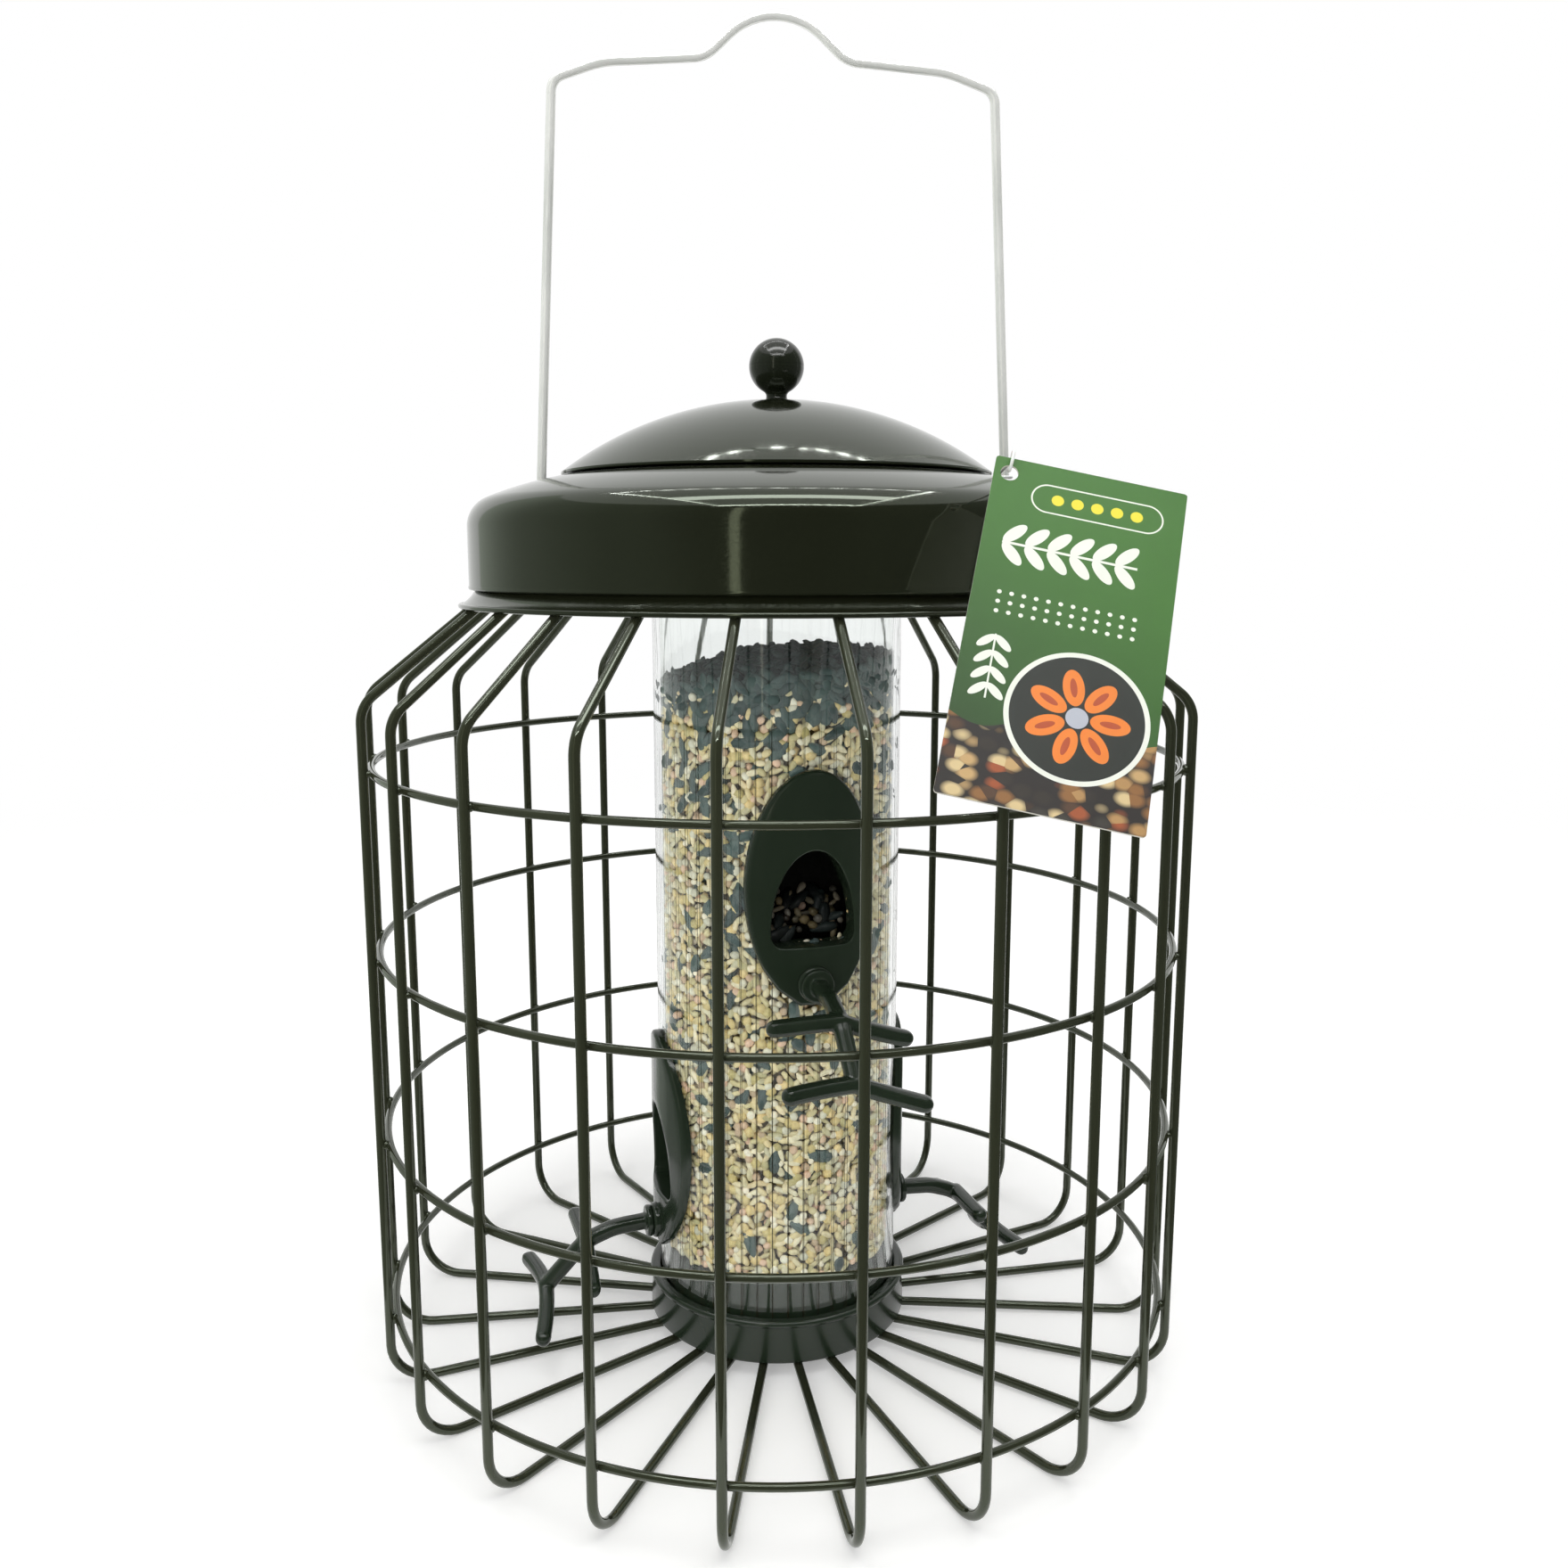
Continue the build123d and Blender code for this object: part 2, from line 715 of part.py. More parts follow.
# The perches look like a forked branch: a stem that bends down as it goes out, with
# two pairs of twigs whose right sides hang lower. Places on a perch are drop and
# distance out from its boss.
twig_spans = [
    (stem_bend_drop, stem_bend_out, twig_sweep, left_twig_droop, right_twig_droop),
    (stem_end_drop, stem_end_out, tip_sweep, left_tip_droop, right_tip_droop),
]
for name, azimuth, height in ports:
    boss_height = height - boss_drop
    root = facing_plane(azimuth, boss_face, boss_height)
    with BuildPart() as perch:
        with BuildLine(radial_plane(azimuth)) as stem:
            FilletPolyline(
                (boss_face + root_thickness / 2, boss_height),
                (boss_face + stem_knee_out, boss_height - stem_knee_drop),
                (boss_face + stem_bend_out, boss_height - stem_bend_drop),
                (boss_face + stem_end_out, boss_height - stem_end_drop),
                radius=stem_bend_radius,
            )
        with BuildSketch(Plane(origin=stem.line @ 0, z_dir=stem.line % 0)):
            Circle(stem_radius)
        sweep()
        for drop, out, sweep_out, left_droop, right_droop in twig_spans:
            tip_out = out + sweep_out
            left = root.from_local_coords(Vector(-twig_reach, -drop - left_droop, tip_out))
            middle = root.from_local_coords(Vector(0, -drop, out))
            right = root.from_local_coords(Vector(twig_reach, -drop - right_droop, tip_out))
            with BuildLine() as twig:
                ThreePointArc(left, middle, right)
            with BuildSketch(Plane(origin=left, z_dir=twig.line % 0)):
                Circle(twig_radius)
            sweep(path=twig.line)
            with Locations(left, right):
                Sphere(twig_radius)
        with BuildSketch(root):
            Circle(root_radius)
        extrude(amount=root_thickness)
        with BuildSketch(root):
            Circle(peg_radius)
        extrude(amount=-(boss_face - tube_inner + peg_inside))
    finish(perch, f"perch_{name}")

# The seed fills the tube over the cone, with a hollow behind each mouth. It is two
# solids, one on the other, that meet halfway between the ports.
seed_radius = tube_inner - seed_clearance
seed_edge_height = floor_height - seed_headroom
hood_back = tube_inner - pocket_depth
peg_back = tube_inner - peg_inside - seed_clearance
with BuildPart() as all_seed:
    with BuildSketch(Plane.XZ):
        Polygon(
            (0, cone_top + seed_clearance),
            (cone_tip_radius, cone_top + seed_clearance),
            (seed_radius, cone_rim_height + seed_clearance),
            (seed_radius, seed_edge_height),
            (0, seed_edge_height + seed_mound),
            align=None,
        )
    revolve(axis=Axis.Z)
    for name, azimuth, height in ports:
        with BuildSketch(facing_plane(azimuth, hood_back, height)):
            add(pocket_outline)
        extrude(amount=tube_radius, mode=Mode.SUBTRACT)
        with BuildSketch(facing_plane(azimuth, peg_back, height - boss_drop)):
            Circle(peg_radius + seed_clearance)
        extrude(amount=tube_radius, mode=Mode.SUBTRACT)

seed_halfway = (port_lower_height + port_upper_height) / 2
for name, side in (("seed_lower", -1), ("seed_upper", 1)):
    with BuildPart() as seed_half:
        add(all_seed.part)
        with BuildSketch(Plane.XY.offset(seed_halfway)):
            Circle(tube_radius)
        extrude(amount=floor_height * side, mode=Mode.INTERSECT)
    finish(seed_half, name)

# The card tag leans on the lid's shoulder and on the cage's, so its plane is the one
# that touches both of their rounded edges.
cage_bend_r = cage_radius - shoulder_bend_radius
cage_bend_z = shoulder_height - shoulder_bend_radius * math.tan(math.radians(90 - shoulder_slope) / 2)
cage_bend_outer = shoulder_bend_radius + wire_r
step_in = cage_bend_r - shoulder_centre_r
step_up = shoulder_centre_height - cage_bend_z
tag_tilt = math.atan2(step_in, step_up) + math.asin(
    (cage_bend_outer - shoulder_radius) / math.hypot(step_in, step_up)
)
tag_distance = (
    shoulder_centre_r * math.cos(tag_tilt)
    + shoulder_centre_height * math.sin(tag_tilt)
    + shoulder_radius
    + tag_gap
)
tag_out = outward(tag_azimuth)
tag_normal = tag_out * math.cos(tag_tilt) + Vector(0, 0, math.sin(tag_tilt))
tag_along = Vector(0, 0, 1).cross(tag_out)
tag_down = tag_out * math.sin(tag_tilt) - Vector(0, 0, math.cos(tag_tilt))
tag_hole_height = shoulder_centre_height + tag_hole_rise
hole_down = (tag_distance * math.sin(tag_tilt) - tag_hole_height) / math.cos(tag_tilt)
hole_centre = tag_normal * tag_distance + tag_along * tag_across + tag_down * hole_down
roll = math.radians(tag_roll)
tag_plane = Plane(
    origin=hole_centre,
    x_dir=tag_along * math.cos(roll) + tag_down * math.sin(roll),
    z_dir=tag_normal,
)
with BuildPart() as swing_tag:
    with BuildSketch(tag_plane):
        with Locations((tag_width / 2 - tag_hole_side, tag_hole_drop - tag_length / 2)):
            RectangleRounded(tag_width, tag_length, tag_corner_radius)
        Circle(tag_hole_radius, mode=Mode.SUBTRACT)
    extrude(amount=tag_thickness)
finish(swing_tag, "swing_tag")

# A thin white tie runs from an eye round the bail's leg to an eye through the tag. The
# leg's eye is long, because the leg leans in as the lid slides up. The tag's eye is
# round about the line that the tag swings on.
tie_leg_height = crown_height(dome_rim_radius) + tie_rest_gap + tie_radius
eye_grip = bail_r + tie_leg_clearance + tie_radius
eye_outer = leg_x(tie_leg_height) + eye_grip
eye_inner = leg_x(tie_leg_height + lid_travel) - eye_grip
eye_start = Vector(eye_inner + eye_grip, -eye_grip, tie_leg_height)
tie_in_hole = tag_hole_radius - tie_hole_clearance - tie_radius
tag_hinge = tag_plane.from_local_coords(Vector(0, tie_in_hole + tie_eye_radius, tag_thickness / 2))
strand_end = tag_hinge + (eye_start - tag_hinge).normalized() * tie_eye_radius
with BuildPart() as tag_tie:
    with BuildLine(Plane.XY.offset(tie_leg_height)) as leg_eye:
        FilletPolyline(
            (eye_inner, -eye_grip),
            (eye_outer, -eye_grip),
            (eye_outer, eye_grip),
            (eye_inner, eye_grip),
            radius=eye_grip - tie_radius,
            close=True,
        )
    with BuildSketch(Plane(origin=leg_eye.line @ 0, z_dir=leg_eye.line % 0)):
        Circle(tie_radius)
    sweep()
    with BuildSketch(Plane(origin=tag_hinge, x_dir=tag_plane.y_dir, z_dir=tag_plane.z_dir)):
        with Locations((tie_eye_radius, 0)):
            Circle(tie_radius)
    revolve(axis=Axis(tag_hinge, tag_plane.x_dir))
    with BuildLine() as strand:
        Line(eye_start, strand_end)
    with BuildSketch(Plane(origin=eye_start, z_dir=strand.line % 0)):
        Circle(tie_radius)
    sweep(path=strand.line)
finish(tag_tie, "tag_tie")

print("tag hinge at", tag_hinge, "axis", -tag_plane.x_dir)
print("lid travel", lid_travel, "slot from", slot_inner, "to", slot_outer)
print("collar top", collar_top, "dome top", dome_top, "knob seat", knob_seat)
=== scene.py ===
import json
import math
import random

import bmesh
import bpy
from mathutils import Matrix, Vector

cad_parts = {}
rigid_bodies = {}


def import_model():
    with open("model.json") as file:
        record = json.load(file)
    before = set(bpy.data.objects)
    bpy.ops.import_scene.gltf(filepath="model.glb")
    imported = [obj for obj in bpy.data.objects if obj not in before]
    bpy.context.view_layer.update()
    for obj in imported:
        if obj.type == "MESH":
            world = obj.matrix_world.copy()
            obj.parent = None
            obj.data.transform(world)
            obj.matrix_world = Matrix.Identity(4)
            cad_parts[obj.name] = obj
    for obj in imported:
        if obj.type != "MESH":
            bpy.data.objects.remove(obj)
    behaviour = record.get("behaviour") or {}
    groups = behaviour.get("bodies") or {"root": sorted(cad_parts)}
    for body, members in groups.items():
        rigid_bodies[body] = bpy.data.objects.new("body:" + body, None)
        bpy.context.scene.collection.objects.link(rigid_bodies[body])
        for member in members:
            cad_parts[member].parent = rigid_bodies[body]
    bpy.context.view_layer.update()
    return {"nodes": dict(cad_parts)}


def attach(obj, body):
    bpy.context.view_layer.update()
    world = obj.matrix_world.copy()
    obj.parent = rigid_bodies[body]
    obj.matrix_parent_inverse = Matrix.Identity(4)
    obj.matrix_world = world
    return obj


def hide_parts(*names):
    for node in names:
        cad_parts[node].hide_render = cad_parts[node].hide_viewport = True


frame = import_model()

# Camera: it looks from a little left of the front, just above the middle of the cage,
# and slightly down. Its lens is given for the long side of the picture.
camera_place = (-0.0373, -0.4262, 0.2444)
camera_tilt = 80.86
camera_heading = -5.3
camera_lens = 31.89

camera_data = bpy.data.cameras.new("camera")
camera_data.lens = camera_lens
camera_data.sensor_width = 36.0
camera_data.clip_start = 0.01
camera_data.clip_end = 50.0
camera = bpy.data.objects.new("camera", camera_data)
camera.location = camera_place
camera.rotation_euler = (math.radians(camera_tilt), 0, math.radians(camera_heading))
bpy.context.scene.collection.objects.link(camera)
bpy.context.scene.camera = camera
bpy.context.scene.view_settings.view_transform = "Standard"

# Studio: a white sweep and two soft lights. What the paint mirrors is set up apart: a
# frame of thin dotted light strips with a plain band of light inside it, and a dim room
# in front, darkest behind the camera, with a bright doorway.
floor_size = 6.0
floor_hex = "EDEDEC"
floor_lift = 0.3
floor_fade = (0.45, 1.3)
world_level = 0.62
room_radius = 1.5
room_height = 1.7
room_turns = (-139.0, 123.0)
room_levels = (
    (-139, 0.68), (-100, 0.42), (-60, 0.26), (-24, 0.1), (10, 0.06), (45, 0.1), (105, 0.2), (123, 0.6)
)
room_steps = 60
room_hex = "F6FFF2"
room_floor_start = 0.17
room_floor_height = 0.001
doorway_turns = (-17.2, -20.6)
doorway_level = 1.9
doorway_hex = "FFFFE6"
doorway_reach_share = 0.98
doorway_height_share = 0.8
strip_rect = (-0.46, -0.86, 0.46, 0.36)
strip_widths = (0.056, 0.014)
strip_height = 1.12
strip_level = 38.0
strip_pitch = 0.036
strip_dot_shares = (0.4, 0.6)
strip_gap_share = 0.12
band_rect = (-0.46, -0.37, 0.46, -0.17)
band_level = 8.5
overhead_place = (0.1, -0.25, 1.5)
overhead_size = 1.1
overhead_power = 11.0
front_place = (-0.9, -1.3, 0.7)
front_size = 0.9
front_power = 9.0


def linear(code):
    """Linear colour of an sRGB hex code, with full alpha."""
    parts = [int(code[i : i + 2], 16) / 255 for i in (0, 2, 4)]
    return [p / 12.92 if p <= 0.04045 else ((p + 0.055) / 1.055) ** 2.4 for p in parts] + [1.0]


def add_node(tree, kind, sockets=None, **settings):
    """Adds a node, with its settings, and a link or a value for each named input."""
    node = tree.nodes.new(kind)
    for key, value in settings.items():
        setattr(node, key, value)
    for key, value in (sockets or {}).items():
        if isinstance(value, bpy.types.NodeSocket):
            tree.links.new(value, node.inputs[key])
        else:
            node.inputs[key].default_value = value
    return node


def calc(tree, operation, *values):
    """One step of arithmetic in a tree, on sockets or numbers."""
    return add_node(tree, "ShaderNodeMath", dict(enumerate(values)), operation=operation).outputs[0]


def shown_rays(tree):
    """Is 1 for what the camera sees, straight or by reflection or through the tube."""
    path = add_node(tree, "ShaderNodeLightPath").outputs
    straight_or_gloss = calc(tree, "MAXIMUM", path["Is Camera Ray"], path["Is Glossy Ray"])
    return calc(tree, "MAXIMUM", straight_or_gloss, path["Is Transmission Ray"])


def stage_sheet(name, corners, faces, material):
    """Puts up a piece of the studio, which is not part of the feeder."""
    mesh = bpy.data.meshes.new(name)
    mesh.from_pydata(corners, [], faces)
    mesh.materials.append(material)
    sheet = bpy.data.objects.new(name, mesh)
    bpy.context.scene.collection.objects.link(sheet)
    return sheet


def glowing(name, colour, level):
    """Plain light-giving surface."""
    material = bpy.data.materials.new(name)
    material.use_nodes = True
    tree = material.node_tree
    tree.nodes.clear()
    glow = add_node(tree, "ShaderNodeEmission", {"Color": colour, "Strength": level})
    add_node(tree, "ShaderNodeOutputMaterial", {"Surface": glow.outputs[0]})
    return material


world = bpy.data.worlds.new("studio")
world.use_nodes = True
sky_tree = world.node_tree
sky_tree.nodes.clear()
bpy.context.scene.world = world
sky_level = add_node(
    sky_tree,
    "ShaderNodeMapRange",
    {"Value": shown_rays(sky_tree), "To Min": world_level, "To Max": 1.0},
)
sky = add_node(
    sky_tree,
    "ShaderNodeBackground",
    {"Color": (1.0, 1.0, 1.0, 1.0), "Strength": sky_level.outputs[0]},
)
add_node(sky_tree, "ShaderNodeOutputWorld", {"Surface": sky.outputs[0]})

paper = bpy.data.materials.new("white_sweep_paper")
paper.use_nodes = True
paper_tree = paper.node_tree
paper_tree.nodes.clear()
paper_lift = calc(paper_tree, "MULTIPLY", shown_rays(paper_tree), floor_lift)
paper_glow = add_node(
    paper_tree, "ShaderNodeEmission", {"Strength": paper_lift}
)
paper_face = add_node(paper_tree, "ShaderNodeBsdfDiffuse", {"Color": linear(floor_hex)})
paper_sum = add_node(
    paper_tree, "ShaderNodeAddShader", {0: paper_face.outputs[0], 1: paper_glow.outputs[0]}
)
paper_place = add_node(paper_tree, "ShaderNodeTexCoord").outputs["Object"]
paper_reach = add_node(
    paper_tree, "ShaderNodeVectorMath", {0: paper_place}, operation="LENGTH"
).outputs["Value"]
paper_fade = add_node(
    paper_tree,
    "ShaderNodeMapRange",
    {"Value": paper_reach, "From Min": floor_fade[0], "From Max": floor_fade[1]},
    interpolation_type="SMOOTHSTEP",
)
far_share = calc(paper_tree, "MULTIPLY", paper_fade.outputs[0], shown_rays(paper_tree))
far_glow = add_node(paper_tree, "ShaderNodeEmission", {"Strength": 1.0})
paper_mix = add_node(
    paper_tree,
    "ShaderNodeMixShader",
    {0: far_share, 1: paper_sum.outputs[0], 2: far_glow.outputs[0]},
)
add_node(paper_tree, "ShaderNodeOutputMaterial", {"Surface": paper_mix.outputs[0]})
half = floor_size / 2
stage_sheet(
    "studio_floor",
    [(-half, -half, 0), (half, -half, 0), (half, half, 0), (-half, half, 0)],
    [(0, 1, 2, 3)],
    paper,
)

# The room is only there for reflections, so it neither lights nor shades the feeder.
room_corners = []
for step in range(room_steps + 1):
    turn = math.radians(room_turns[0] + step * (room_turns[1] - room_turns[0]) / room_steps)
    for reach, height in (
        (room_floor_start, room_floor_height),
        (room_radius, room_floor_height),
        (room_radius, room_height),
    ):
        room_corners.append((reach * math.sin(turn), -reach * math.cos(turn), height))
room_faces = [(i, i + 3, i + 4, i + 1) for i in range(3 * room_steps) if i % 3 < 2]
room_glow = glowing("dim_room", linear(room_hex), 1.0)
room_tree = room_glow.node_tree
room_place = add_node(
    room_tree,
    "ShaderNodeSeparateXYZ",
    {0: add_node(room_tree, "ShaderNodeTexCoord").outputs["Object"]},
).outputs
room_front = calc(room_tree, "MULTIPLY", room_place["Y"], -1.0)
room_turn = calc(room_tree, "ARCTAN2", room_place["X"], room_front)
room_share = add_node(
    room_tree,
    "ShaderNodeMapRange",
    {"Value": room_turn, "From Min": -math.pi, "From Max": math.pi},
)
room_ramp = add_node(room_tree, "ShaderNodeValToRGB", {"Fac": room_share.outputs[0]})
room_ramp.color_ramp.interpolation = "EASE"
for i, (turn, level) in enumerate(room_levels):
    stops = room_ramp.color_ramp.elements
    stop = stops[i] if i < 2 else stops.new((turn + 180) / 360)
    stop.position = (turn + 180) / 360
    stop.color = (level, level, level, 1.0)
room_tree.links.new(room_ramp.outputs["Color"], room_tree.nodes["Emission"].inputs["Strength"])
room = stage_sheet("room_in_front", room_corners, room_faces, room_glow)
doorway_radius = room_radius * doorway_reach_share
doorway_corners = []
for turn in (math.radians(doorway_turns[0]), math.radians(doorway_turns[1])):
    for height in (0.0, room_height * doorway_height_share):
        doorway_corners.append(
            (doorway_radius * math.sin(turn), -doorway_radius * math.cos(turn), height)
        )
doorway = stage_sheet(
    "doorway",
    doorway_corners,
    [(0, 1, 3, 2)],
    glowing("doorway_light", linear(doorway_hex), doorway_level),
)
strip_corners = []
strip_faces = []
x0, y0, x1, y1 = strip_rect
front_edge, edge = [width / 2 for width in strip_widths]
for low_x, low_y, high_x, high_y in (
    (x0 - edge, y0 - front_edge, x1 + edge, y0 + front_edge),
    (x0 - edge, y1 - edge, x1 + edge, y1 + edge),
    (x0 - edge, y0 + front_edge, x0 + edge, y1 - edge),
    (x1 - edge, y0 + front_edge, x1 + edge, y1 - edge),
):
    first = len(strip_corners)
    strip_corners += [
        (low_x, low_y, strip_height),
        (high_x, low_y, strip_height),
        (high_x, high_y, strip_height),
        (low_x, high_y, strip_height),
    ]
    strip_faces.append((first, first + 1, first + 2, first + 3))
strip_glow = glowing("strip_light", linear("FFFFFF"), strip_level)
strip_tree = strip_glow.node_tree
strip_place = add_node(
    strip_tree,
    "ShaderNodeSeparateXYZ",
    {0: add_node(strip_tree, "ShaderNodeTexCoord").outputs["Object"]},
).outputs
strip_run = calc(strip_tree, "ADD", strip_place["X"], strip_place["Y"])
strip_cell = calc(strip_tree, "PINGPONG", strip_run, strip_pitch)
strip_lamp = add_node(
    strip_tree,
    "ShaderNodeMapRange",
    {
        "Value": strip_cell,
        "From Min": strip_pitch * strip_dot_shares[0],
        "From Max": strip_pitch * strip_dot_shares[1],
        "To Min": strip_level * strip_gap_share,
        "To Max": strip_level,
    },
)
strip_tree.links.new(strip_lamp.outputs[0], strip_tree.nodes["Emission"].inputs["Strength"])
strips = stage_sheet("light_strips", strip_corners, strip_faces, strip_glow)
x0, y0, x1, y1 = band_rect
band = stage_sheet(
    "light_band",
    [(x0, y0, strip_height), (x1, y0, strip_height), (x1, y1, strip_height), (x0, y1, strip_height)],
    [(0, 1, 2, 3)],
    glowing("band_light", linear("FFFFFF"), band_level),
)
for reflected in (room, doorway, strips, band):
    reflected.visible_camera = False
    reflected.visible_diffuse = False
    reflected.visible_transmission = False
    reflected.visible_shadow = False
    reflected.visible_volume_scatter = False


def soft_box(name, place, aim_height, size, power):
    """Large plain softbox that points at a height on the feeder's axis."""
    data = bpy.data.lights.new(name, "AREA")
    data.shape = "RECTANGLE"
    data.size = size
    data.size_y = size
    data.energy = power
    lamp = bpy.data.objects.new(name, data)
    lamp.location = place
    aim = Vector((0, 0, aim_height)) - Vector(place)
    lamp.rotation_euler = aim.to_track_quat("-Z", "Y").to_euler()
    lamp.visible_glossy = False
    bpy.context.scene.collection.objects.link(lamp)


soft_box("overhead_soft_box", overhead_place, 0.1, overhead_size, overhead_power)
soft_box("front_soft_box", front_place, 0.15, front_size, front_power)

# Upright wires: 23 lengths of 2.8 mm mild steel wire, bent in a jig to one shape, that
# run from the disc under the foot, up the cage and in under the collar. The cage is
# dipped and stoved after it is welded.
mm = 0.001
wire_count = 23
wire_first_azimuth = 4.4
wire_radius = 1.4
wire_run = [(14.0, 3.31), (123.6, 1.16), (123.6, 204.5), (81.5, 238.6), (75.0, 238.6)]
wire_bends = [12.0, 10.0, 8.0]


def new_material(name):
    """Starts a material; gives its tree, its shader and its coordinates on the object."""
    material = bpy.data.materials.new(name)
    material.use_nodes = True
    tree = material.node_tree
    shader = tree.nodes["Principled BSDF"]
    place = add_node(tree, "ShaderNodeTexCoord").outputs["Object"]
    return material, tree, shader, place


def cloudy(tree, place, size, detail):
    """Soft cloudy marks whose size is given in mm."""
    return add_node(
        tree, "ShaderNodeTexNoise", {"Vector": place, "Scale": 1 / (size * mm), "Detail": detail}
    ).outputs["Fac"]


def toned(tree, share, first, second):
    """Colour that lies between two others by a share."""
    return add_node(
        tree, "ShaderNodeMix", {"Factor": share, 6: first, 7: second}, data_type="RGBA"
    ).outputs[2]


def textured(tree, shader, relief, strength, depth):
    """Gives a finish a fine relief, to a depth in mm."""
    bump = add_node(
        tree, "ShaderNodeBump", {"Height": relief, "Strength": strength, "Distance": depth * mm}
    )
    tree.links.new(bump.outputs[0], shader.inputs["Normal"])


def stoved_enamel(name, dark_hex, pale_hex):
    """Dark stoving enamel on steel: a smooth glossy brown-green coat with a trace of fine
    metal flake, a slight orange peel and patches where it is a little thinner."""
    material, tree, shader, place = new_material(name)
    patch_size = 24.0
    peel_size = 1.6
    flake_size = 0.35
    patches = cloudy(tree, place, patch_size, 4.0)
    colour = toned(tree, patches, linear(dark_hex), linear(pale_hex))
    tree.links.new(colour, shader.inputs["Base Color"])
    flakes = add_node(
        tree, "ShaderNodeTexVoronoi", {"Vector": place, "Scale": 1 / (flake_size * mm)}, feature="F1"
    )
    glint = add_node(tree, "ShaderNodeSeparateColor", {"Color": flakes.outputs["Color"]})
    dulling = add_node(
        tree, "ShaderNodeMapRange", {"Value": glint.outputs[0], "To Min": 0.05, "To Max": 0.12}
    )
    tree.links.new(dulling.outputs[0], shader.inputs["Roughness"])
    peel = cloudy(tree, place, peel_size, 2.0)
    textured(tree, shader, peel, 0.12, 0.02)
    shader.inputs["Metallic"].default_value = 0.08
    shader.inputs["IOR"].default_value = 1.66
    shader.inputs["Specular Tint"].default_value = linear("E6F2DE")
    return material


cage_enamel = stoved_enamel("dark_stoving_enamel_on_wire", "2A2C1F", "323528")


def bent(points, radii, steps=10):
    """Points along a wire: straight runs with a round bend at each inner corner."""
    corners = [Vector(point) for point in points]
    path = [corners[0]]
    for before, corner, after, radius in zip(corners, corners[1:], corners[2:], radii):
        back, onward = (before - corner).normalized(), (after - corner).normalized()
        half_turn = back.angle(onward) / 2
        centre = corner + (back + onward).normalized() * (radius / math.sin(half_turn))
        start = corner + back * (radius / math.tan(half_turn)) - centre
        end = corner + onward * (radius / math.tan(half_turn)) - centre
        sweep = start.angle(end)
        for step in range(steps + 1):
            share = step / steps
            mix = start * math.sin((1 - share) * sweep) + end * math.sin(share * sweep)
            path.append(centre + mix / math.sin(sweep))
    path.append(corners[-1])
    return path


def line_object(name, points):
    """Plain line through points given in mm, for a tree to work on."""
    mesh = bpy.data.meshes.new(name)
    mesh.from_pydata([Vector(p) * mm for p in points], [(i, i + 1) for i in range(len(points) - 1)], [])
    host = bpy.data.objects.new(name, mesh)
    bpy.context.scene.collection.objects.link(host)
    return host


def new_tree(name, inputs):
    """Starts a Geometry Nodes tree with named inputs: its nodes' start and its tree."""
    tree = bpy.data.node_groups.new(name, "GeometryNodeTree")
    tree.interface.new_socket("Geometry", in_out="INPUT", socket_type="NodeSocketGeometry")
    for label, kind in inputs.items():
        tree.interface.new_socket(label, in_out="INPUT", socket_type="NodeSocket" + kind)
    tree.interface.new_socket("Geometry", in_out="OUTPUT", socket_type="NodeSocketGeometry")
    return tree, add_node(tree, "NodeGroupInput").outputs


def end_tree(tree, geometry, material):
    """Ends a tree: real mesh, smooth faces and its material."""
    real = add_node(tree, "GeometryNodeRealizeInstances", {"Geometry": geometry})
    smooth = add_node(tree, "GeometryNodeSetShadeSmooth", {"Geometry": real.outputs[0]})
    painted = add_node(
        tree, "GeometryNodeSetMaterial", {"Geometry": smooth.outputs[0], "Material": material}
    )
    add_node(tree, "NodeGroupOutput", {"Geometry": painted.outputs[0]})


def grown(name, host, tree, values):
    """Runs a tree on a host and gives its result as a plain mesh in place of the host."""
    modifier = host.modifiers.new(name, "NODES")
    modifier.node_group = tree
    for item in tree.interface.items_tree:
        if item.in_out == "INPUT" and item.name in values:
            modifier[item.identifier] = values[item.name]
    depsgraph = bpy.context.evaluated_depsgraph_get()
    mesh = bpy.data.meshes.new_from_object(
        host.evaluated_get(depsgraph), preserve_all_data_layers=True, depsgraph=depsgraph
    )
    mesh.name = name
    bpy.data.objects.remove(host)
    piece = bpy.data.objects.new(name, mesh)
    bpy.context.scene.collection.objects.link(piece)
    return piece


bent_tree, socket = new_tree(
    "bent_wires", {"Wire radius": "Float", "Count": "Int", "First turn": "Float", "Finish": "Material"}
)
section = add_node(
    bent_tree, "GeometryNodeCurvePrimitiveCircle", {"Resolution": 14, "Radius": socket["Wire radius"]}
)
run = add_node(bent_tree, "GeometryNodeMeshToCurve", {"Mesh": socket["Geometry"]})
wire = add_node(
    bent_tree,
    "GeometryNodeCurveToMesh",
    {"Curve": run.outputs[0], "Profile Curve": section.outputs[0], "Fill Caps": True},
)
places = add_node(bent_tree, "GeometryNodeMeshLine", {"Count": socket["Count"], "Offset": (0, 0, 0)})
index = add_node(bent_tree, "GeometryNodeInputIndex")
share = calc(bent_tree, "DIVIDE", index.outputs[0], socket["Count"])
turn = calc(bent_tree, "MULTIPLY_ADD", share, math.tau, socket["First turn"])
turned_by = add_node(bent_tree, "ShaderNodeCombineXYZ", {"Z": turn})
rotation = add_node(bent_tree, "FunctionNodeEulerToRotation", {"Euler": turned_by.outputs[0]})
wires = add_node(
    bent_tree,
    "GeometryNodeInstanceOnPoints",
    {"Points": places.outputs[0], "Instance": wire.outputs[0], "Rotation": rotation.outputs[0]},
)
end_tree(bent_tree, wires.outputs[0], socket["Finish"])
